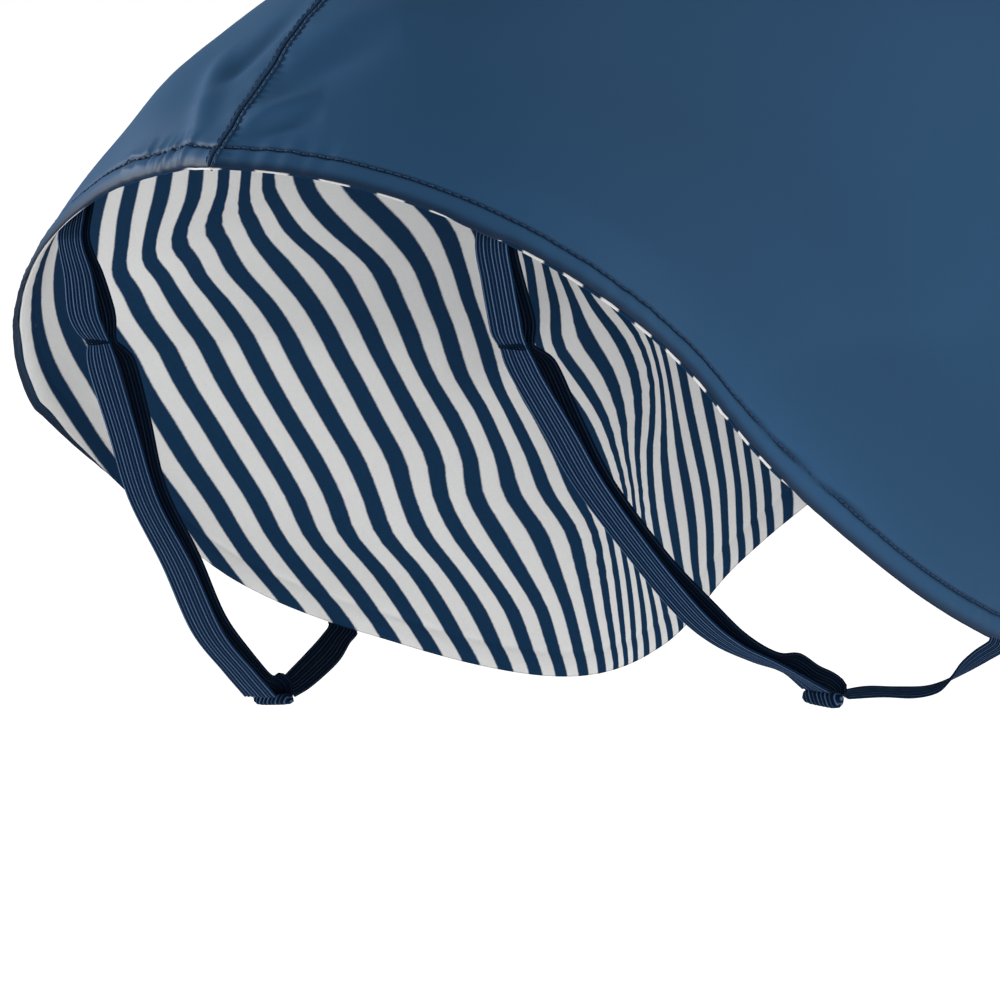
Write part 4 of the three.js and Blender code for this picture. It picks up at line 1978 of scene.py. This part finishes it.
@dataclass(frozen=True)
class BarTack:
    """Close stitches that pinch both layers of an elastic together.

    margin and clearance are how far the loops stand off the elastic's edges and faces.
    """

    side: Side
    threads: int = 4
    radius: float = 0.2
    gap: float = 0.42
    margin: float = 0.1
    clearance: float = 0.62
    squareness: float = 0.35
    sway: float = 0.25
    loop_steps: int = 24
    sides: int = 6
    # Painted shade, which darkens the tack's threads towards the elastic's shadow colour.
    shade: float = 0.5

    def build(self, name: str, material: bpy.types.Material) -> bpy.types.Object:
        """Makes the tack's threads, each a flat loop round both layers.

        Args:
            name: the piece's name.
            material: its finish.

        Returns:
            The piece.
        """
        route = ROUTES[self.side]
        pinch = route.front[route.tack]
        centre, across, face, width = ElasticBand(route.front, self.side).frames()
        at = int(np.argmin(np.linalg.norm(centre - np.array([pinch.x, pinch.y, pinch.z]), axis=1)))
        tangent = unit(centre[at + 1] - centre[at - 1])
        lift = 0.5 * pinch.apart
        turn = np.linspace(0, 2 * np.pi, self.loop_steps, endpoint=False)
        tube = np.linspace(0, 2 * np.pi, self.sides, endpoint=False)
        wide = (np.cos(turn) * (0.5 * width[at] + self.margin))[:, None]
        flat = np.sign(np.sin(turn)) * np.abs(np.sin(turn)) ** self.squareness
        deep = (flat * (lift + self.clearance))[:, None]
        out = unit(across[at] * np.cos(turn)[:, None] + face[at] * np.sin(turn)[:, None])
        points, faces = [], []
        for number in range(self.threads):
            shift = (number - (self.threads - 1) / 2) * self.gap
            sway = (self.sway * np.sin(turn * 2 + number))[:, None]
            ring = centre[at] + face[at] * lift + across[at] * wide + face[at] * deep
            ring = ring + tangent * (shift + sway)
            around = (np.cos(tube) * self.radius)[None, :, None]
            along = (np.sin(tube) * self.radius)[None, :, None]
            points.append((ring[:, None] + out[:, None] * around + tangent * along).reshape(-1, 3))
            index = np.arange(turn.size * tube.size).reshape(turn.size, tube.size)
            index = index + number * index.size
            ahead, beside = np.roll(index, -1, 0), np.roll(index, -1, 1)
            both = np.roll(ahead, -1, 1)
            quads = np.stack([index, beside, both, ahead], -1).reshape(-1, 4)
            faces.extend(tuple(quad) for quad in quads.tolist())
        placed = mirrored(np.concatenate(points), self.side)
        if self.side is Side.RIGHT:
            faces = [corners[::-1] for corners in faces]
        piece = new_piece(name, placed, faces, material)
        # No rib and no painted highlight on the threads, and a painted shade over them.
        for value, amount in (("rib", 0.0), ("glint", 0.0), ("shade", self.shade)):
            add_values(piece, value, np.full(len(placed), amount))
        return piece


# ---------------------------------------------------------------------------------------------
# Sub-assemblies
# ---------------------------------------------------------------------------------------------


@dataclass
class CoatSide:
    """One side of the coat: its shell, lining and topstitching."""

    side: Side
    cut: PanelCut
    shell_layer: ClothLayer = ClothLayer(depth=0.0, thickness=0.9)
    lining_layer: ClothLayer = ClothLayer(depth=1.15, thickness=0.6)
    shell_spacing: float = 4.0
    lining_spacing: float = 2.8

    def shell(self) -> Panel:
        """The shell's panel.

        Returns:
            The panel, with its seam, folds and puckers.
        """
        return Panel(
            name=f"shell_{self.side.label}_cloth",
            node=f"shell_{self.side.label}",
            grid=self.cut.side(self.shell_spacing),
            form=self.cut.form,
            layer=self.shell_layer,
            side=self.side,
            rim=SHELL_RIM[self.side],
            seam=SeamRelief(),
            folds=COAT_FOLDS + hem_puckers(),
        )

    def lining(self) -> Panel:
        """The lining's panel.

        Returns:
            The panel, striped as it hangs where its inside is in view.
        """
        return Panel(
            name=f"lining_{self.side.label}_cloth",
            node=f"lining_{self.side.label}",
            grid=self.cut.side(self.lining_spacing),
            form=self.cut.form,
            layer=self.lining_layer,
            side=self.side,
            stripes=DrapedStripes() if self.side is Side.LEFT else SlantedStripes(),
            rim=LINING_RIM[self.side],
            wave=0.5,
            folds=COAT_FOLDS,
            inner_folds=(WAIST_FOLD,) + LINING_FOLDS,
            hem_strength=-0.4,
        )

    def build(self, finishes: Finishes) -> list[bpy.types.Object]:
        """Makes the side's pieces.

        Args:
            finishes: the coat's materials.

        Returns:
            The shell, the lining and the stitches.
        """
        shell = self.shell()
        rows = (StitchRow(shell.hem.inset), StitchRow(SeamRelief().stitch_row, beside_seam=True))
        return [
            shell.build(finishes.shell, Slot.SHELL),
            self.lining().build(finishes.lining, Slot.LINING),
            StitchedPanel(shell, rows).build(f"topstitch_{self.side.label}", finishes.thread),
        ]


@dataclass
class BellyPart:
    """The plain belly panel and its topstitching."""

    cut: PanelCut
    layer: ClothLayer = ClothLayer(depth=0.0, thickness=0.9)

    def build(self, finishes: Finishes) -> list[bpy.types.Object]:
        """Makes the belly's pieces.

        Args:
            finishes: the coat's materials.

        Returns:
            The panel and the stitches.
        """
        panel = Panel(
            name="shell_belly_cloth",
            node="shell_belly",
            grid=self.cut.belly(),
            form=self.cut.form,
            layer=self.layer,
            side=Side.LEFT,
            borders=(Border.OTHER_EDGE, Border.RUMP, Border.EDGE, Border.NECK),
        )
        rows = (StitchRow(panel.hem.inset),)
        return [
            panel.build(finishes.shell, Slot.SHELL),
            StitchedPanel(panel, rows).build("topstitch_belly", finishes.thread),
        ]


@dataclass
class LegElastic:
    """The elastic of one hind leg: two layers, the knot, the return and the bar-tack."""

    side: Side
    # Painted shade of the back layer, whose inner face lies in shadow.
    back_shade: float = 0.88

    def build(self, finishes: Finishes) -> list[bpy.types.Object]:
        """Makes the elastic's pieces.

        Args:
            finishes: the coat's materials.

        Returns:
            The three bands, the knot and the bar-tack.
        """
        label, route = self.side.label, ROUTES[self.side]
        bands = {
            "front": ElasticBand(route.front, self.side),
            "back": ElasticBand(back_layer(route), self.side, self.back_shade),
            "return": ElasticBand(route.return_stretch, self.side, route.return_shade),
        }
        pieces = [
            band.build(f"elastic_{part}_{label}_band", finishes.elastic, [f"elastic_{part}_{label}"])
            for part, band in bands.items()
        ]
        knot = ElasticKnot(self.side).build(
            f"elastic_knot_{label}", finishes.elastic, f"elastic_keeper_{label}"
        )
        tack = BarTack(self.side).build(f"bar_tack_{label}", finishes.elastic)
        return pieces + [knot, tack]


# ---------------------------------------------------------------------------------------------
# Studio
# ---------------------------------------------------------------------------------------------


def two_glows(sheet: NodeSheet, seen: float, cast: float) -> bpy.types.NodeSocket:
    """A glow of one strength to the camera and of another to everything else.

    Args:
        sheet: the sheet to make it on.
        seen: the strength that the camera sees.
        cast: the strength that lights the coat.

    Returns:
        The strength.
    """
    sight = sheet.add("LightPath")
    return sheet.math("MULTIPLY_ADD", sight.outputs["Is Camera Ray"], seen - cast, cast)


@dataclass(frozen=True)
class SoftBox:
    """One area light: where it stands, in metres, its size, its power and the place it faces."""

    name: str
    place: tuple[float, float, float]
    size: float
    power: float
    aim: tuple[float, float, float] = (-0.08, 0.0, -0.12)


@dataclass(frozen=True)
class Studio:
    """Camera, floor and lights.

    heading and tilt turn the view, in degrees. rump is the place that it is set by, and rump_left
    and rump_up are how far from the picture's middle that place lies. Lengths are in metres.
    """

    heading: float = 38.0
    tilt: float = 1.4
    distance: float = 6.0
    field_width: float = 0.25
    rump: tuple[float, float, float] = (-0.25, 0.0, -0.0925)
    rump_left: float = 0.07325
    rump_up: float = 0.0835
    sensor_width: float = 36.0
    view_end: float = 1000.0
    floor_drop: float = 1.8
    floor_reach: float = 300.0
    floor_shade: float = 0.93
    floor_roughness: float = 0.9
    floor_seen: float = 0.9
    floor_glow: float = 0.36
    sky_seen: float = 1.0
    sky_glow: float = 0.27
    boxes: tuple[SoftBox, ...] = (
        SoftBox("key_light", (-1.3, 2.7, 0.8), 1.0, 128),
        SoftBox("front_light", (-1.9, -2.7, -0.5), 2.0, 56),
        SoftBox("side_light", (0.6, -2.9, 1.7), 2.4, 38),
        SoftBox("lining_light", (0.1, -0.05, -0.13), 0.08, 0.07, aim=(0.07, 0.1, -0.15)),
    )

    def camera(self) -> bpy.types.Object:
        """Makes the camera, level with the coat, behind it and to its right.

        Returns:
            The camera.
        """
        heading, tilt = math.radians(self.heading), math.radians(self.tilt)
        level = math.cos(tilt)
        ahead = Vector((math.cos(heading) * level, math.sin(heading) * level, -math.sin(tilt)))
        right = Vector((math.sin(heading), -math.cos(heading), 0))
        up = right.cross(ahead)
        place = Vector(self.rump) - ahead * self.distance + right * self.rump_left - up * self.rump_up
        data = bpy.data.cameras.new("camera")
        data.sensor_width = self.sensor_width
        data.lens = data.sensor_width * self.distance / self.field_width
        data.clip_end = self.view_end
        camera = bpy.data.objects.new("camera", data)
        turned = Matrix((right, up, -ahead)).transposed().to_4x4()
        camera.matrix_world = Matrix.Translation(place) @ turned
        bpy.context.collection.objects.link(camera)
        bpy.context.scene.camera = camera
        return camera

    def floor(self) -> bpy.types.Object:
        """Makes the pale floor, well below the coat. It glows, evenly bright to the camera and more dimly
        onto the coat, which it lights from below though it is no lamp.

        Returns:
            The floor.
        """
        reach, shade = self.floor_reach, self.floor_shade
        mesh = bpy.data.meshes.new("floor")
        corners = [(-reach, -reach), (reach, -reach), (reach, reach), (-reach, reach)]
        mesh.from_pydata([(x, y, -self.floor_drop) for x, y in corners], [], [(0, 1, 2, 3)])
        material, sheet, shader = start_material("pale_floor")
        shader.inputs["Base Color"].default_value = (shade, shade, shade, 1)
        shader.inputs["Roughness"].default_value = self.floor_roughness
        shader.inputs["Emission Color"].default_value = (1, 1, 1, 1)
        # Painted light: the floor's glow lights the coat from below.
        glow = two_glows(sheet, self.floor_seen, self.floor_glow)
        sheet.join(glow, shader.inputs["Emission Strength"])
        mesh.materials.append(material)
        floor = bpy.data.objects.new("floor", mesh)
        bpy.context.collection.objects.link(floor)
        return floor

    def lights(self) -> None:
        """Makes the soft boxes, one of them small and within the coat."""
        for box in self.boxes:
            data = bpy.data.lights.new(box.name, "AREA")
            data.shape = "DISK"
            data.size = box.size
            data.energy = box.power
            light = bpy.data.objects.new(box.name, data)
            light.location = box.place
            facing = Vector(box.aim) - Vector(box.place)
            light.rotation_euler = facing.to_track_quat("-Z", "Y").to_euler()
            light.visible_camera = False
            bpy.context.collection.objects.link(light)

    def surroundings(self) -> None:
        """Makes the pale surroundings and sets plain display colours."""
        world = bpy.data.worlds.new("surroundings")
        world.use_nodes = True
        sheet = NodeSheet(world.node_tree)
        background = world.node_tree.nodes["Background"]
        background.inputs["Color"].default_value = (1, 1, 1, 1)
        sheet.join(two_glows(sheet, self.sky_seen, self.sky_glow), background.inputs["Strength"])
        bpy.context.scene.world = world
        bpy.context.scene.view_settings.view_transform = "Standard"


def main() -> None:
    """Builds the studio and the coat, piece by piece."""
    logging.basicConfig(level=logging.INFO, format="%(name)s: %(message)s")
    studio = Studio()
    studio.camera()
    studio.floor()
    studio.lights()
    studio.surroundings()
    finishes = Finishes.make()
    cut = PanelCut(CoatForm())
    for side in Side:
        CoatSide(side, cut).build(finishes)
        LegElastic(side).build(finishes)
    BellyPart(cut).build(finishes)


if __name__ == "__main__":
    main()
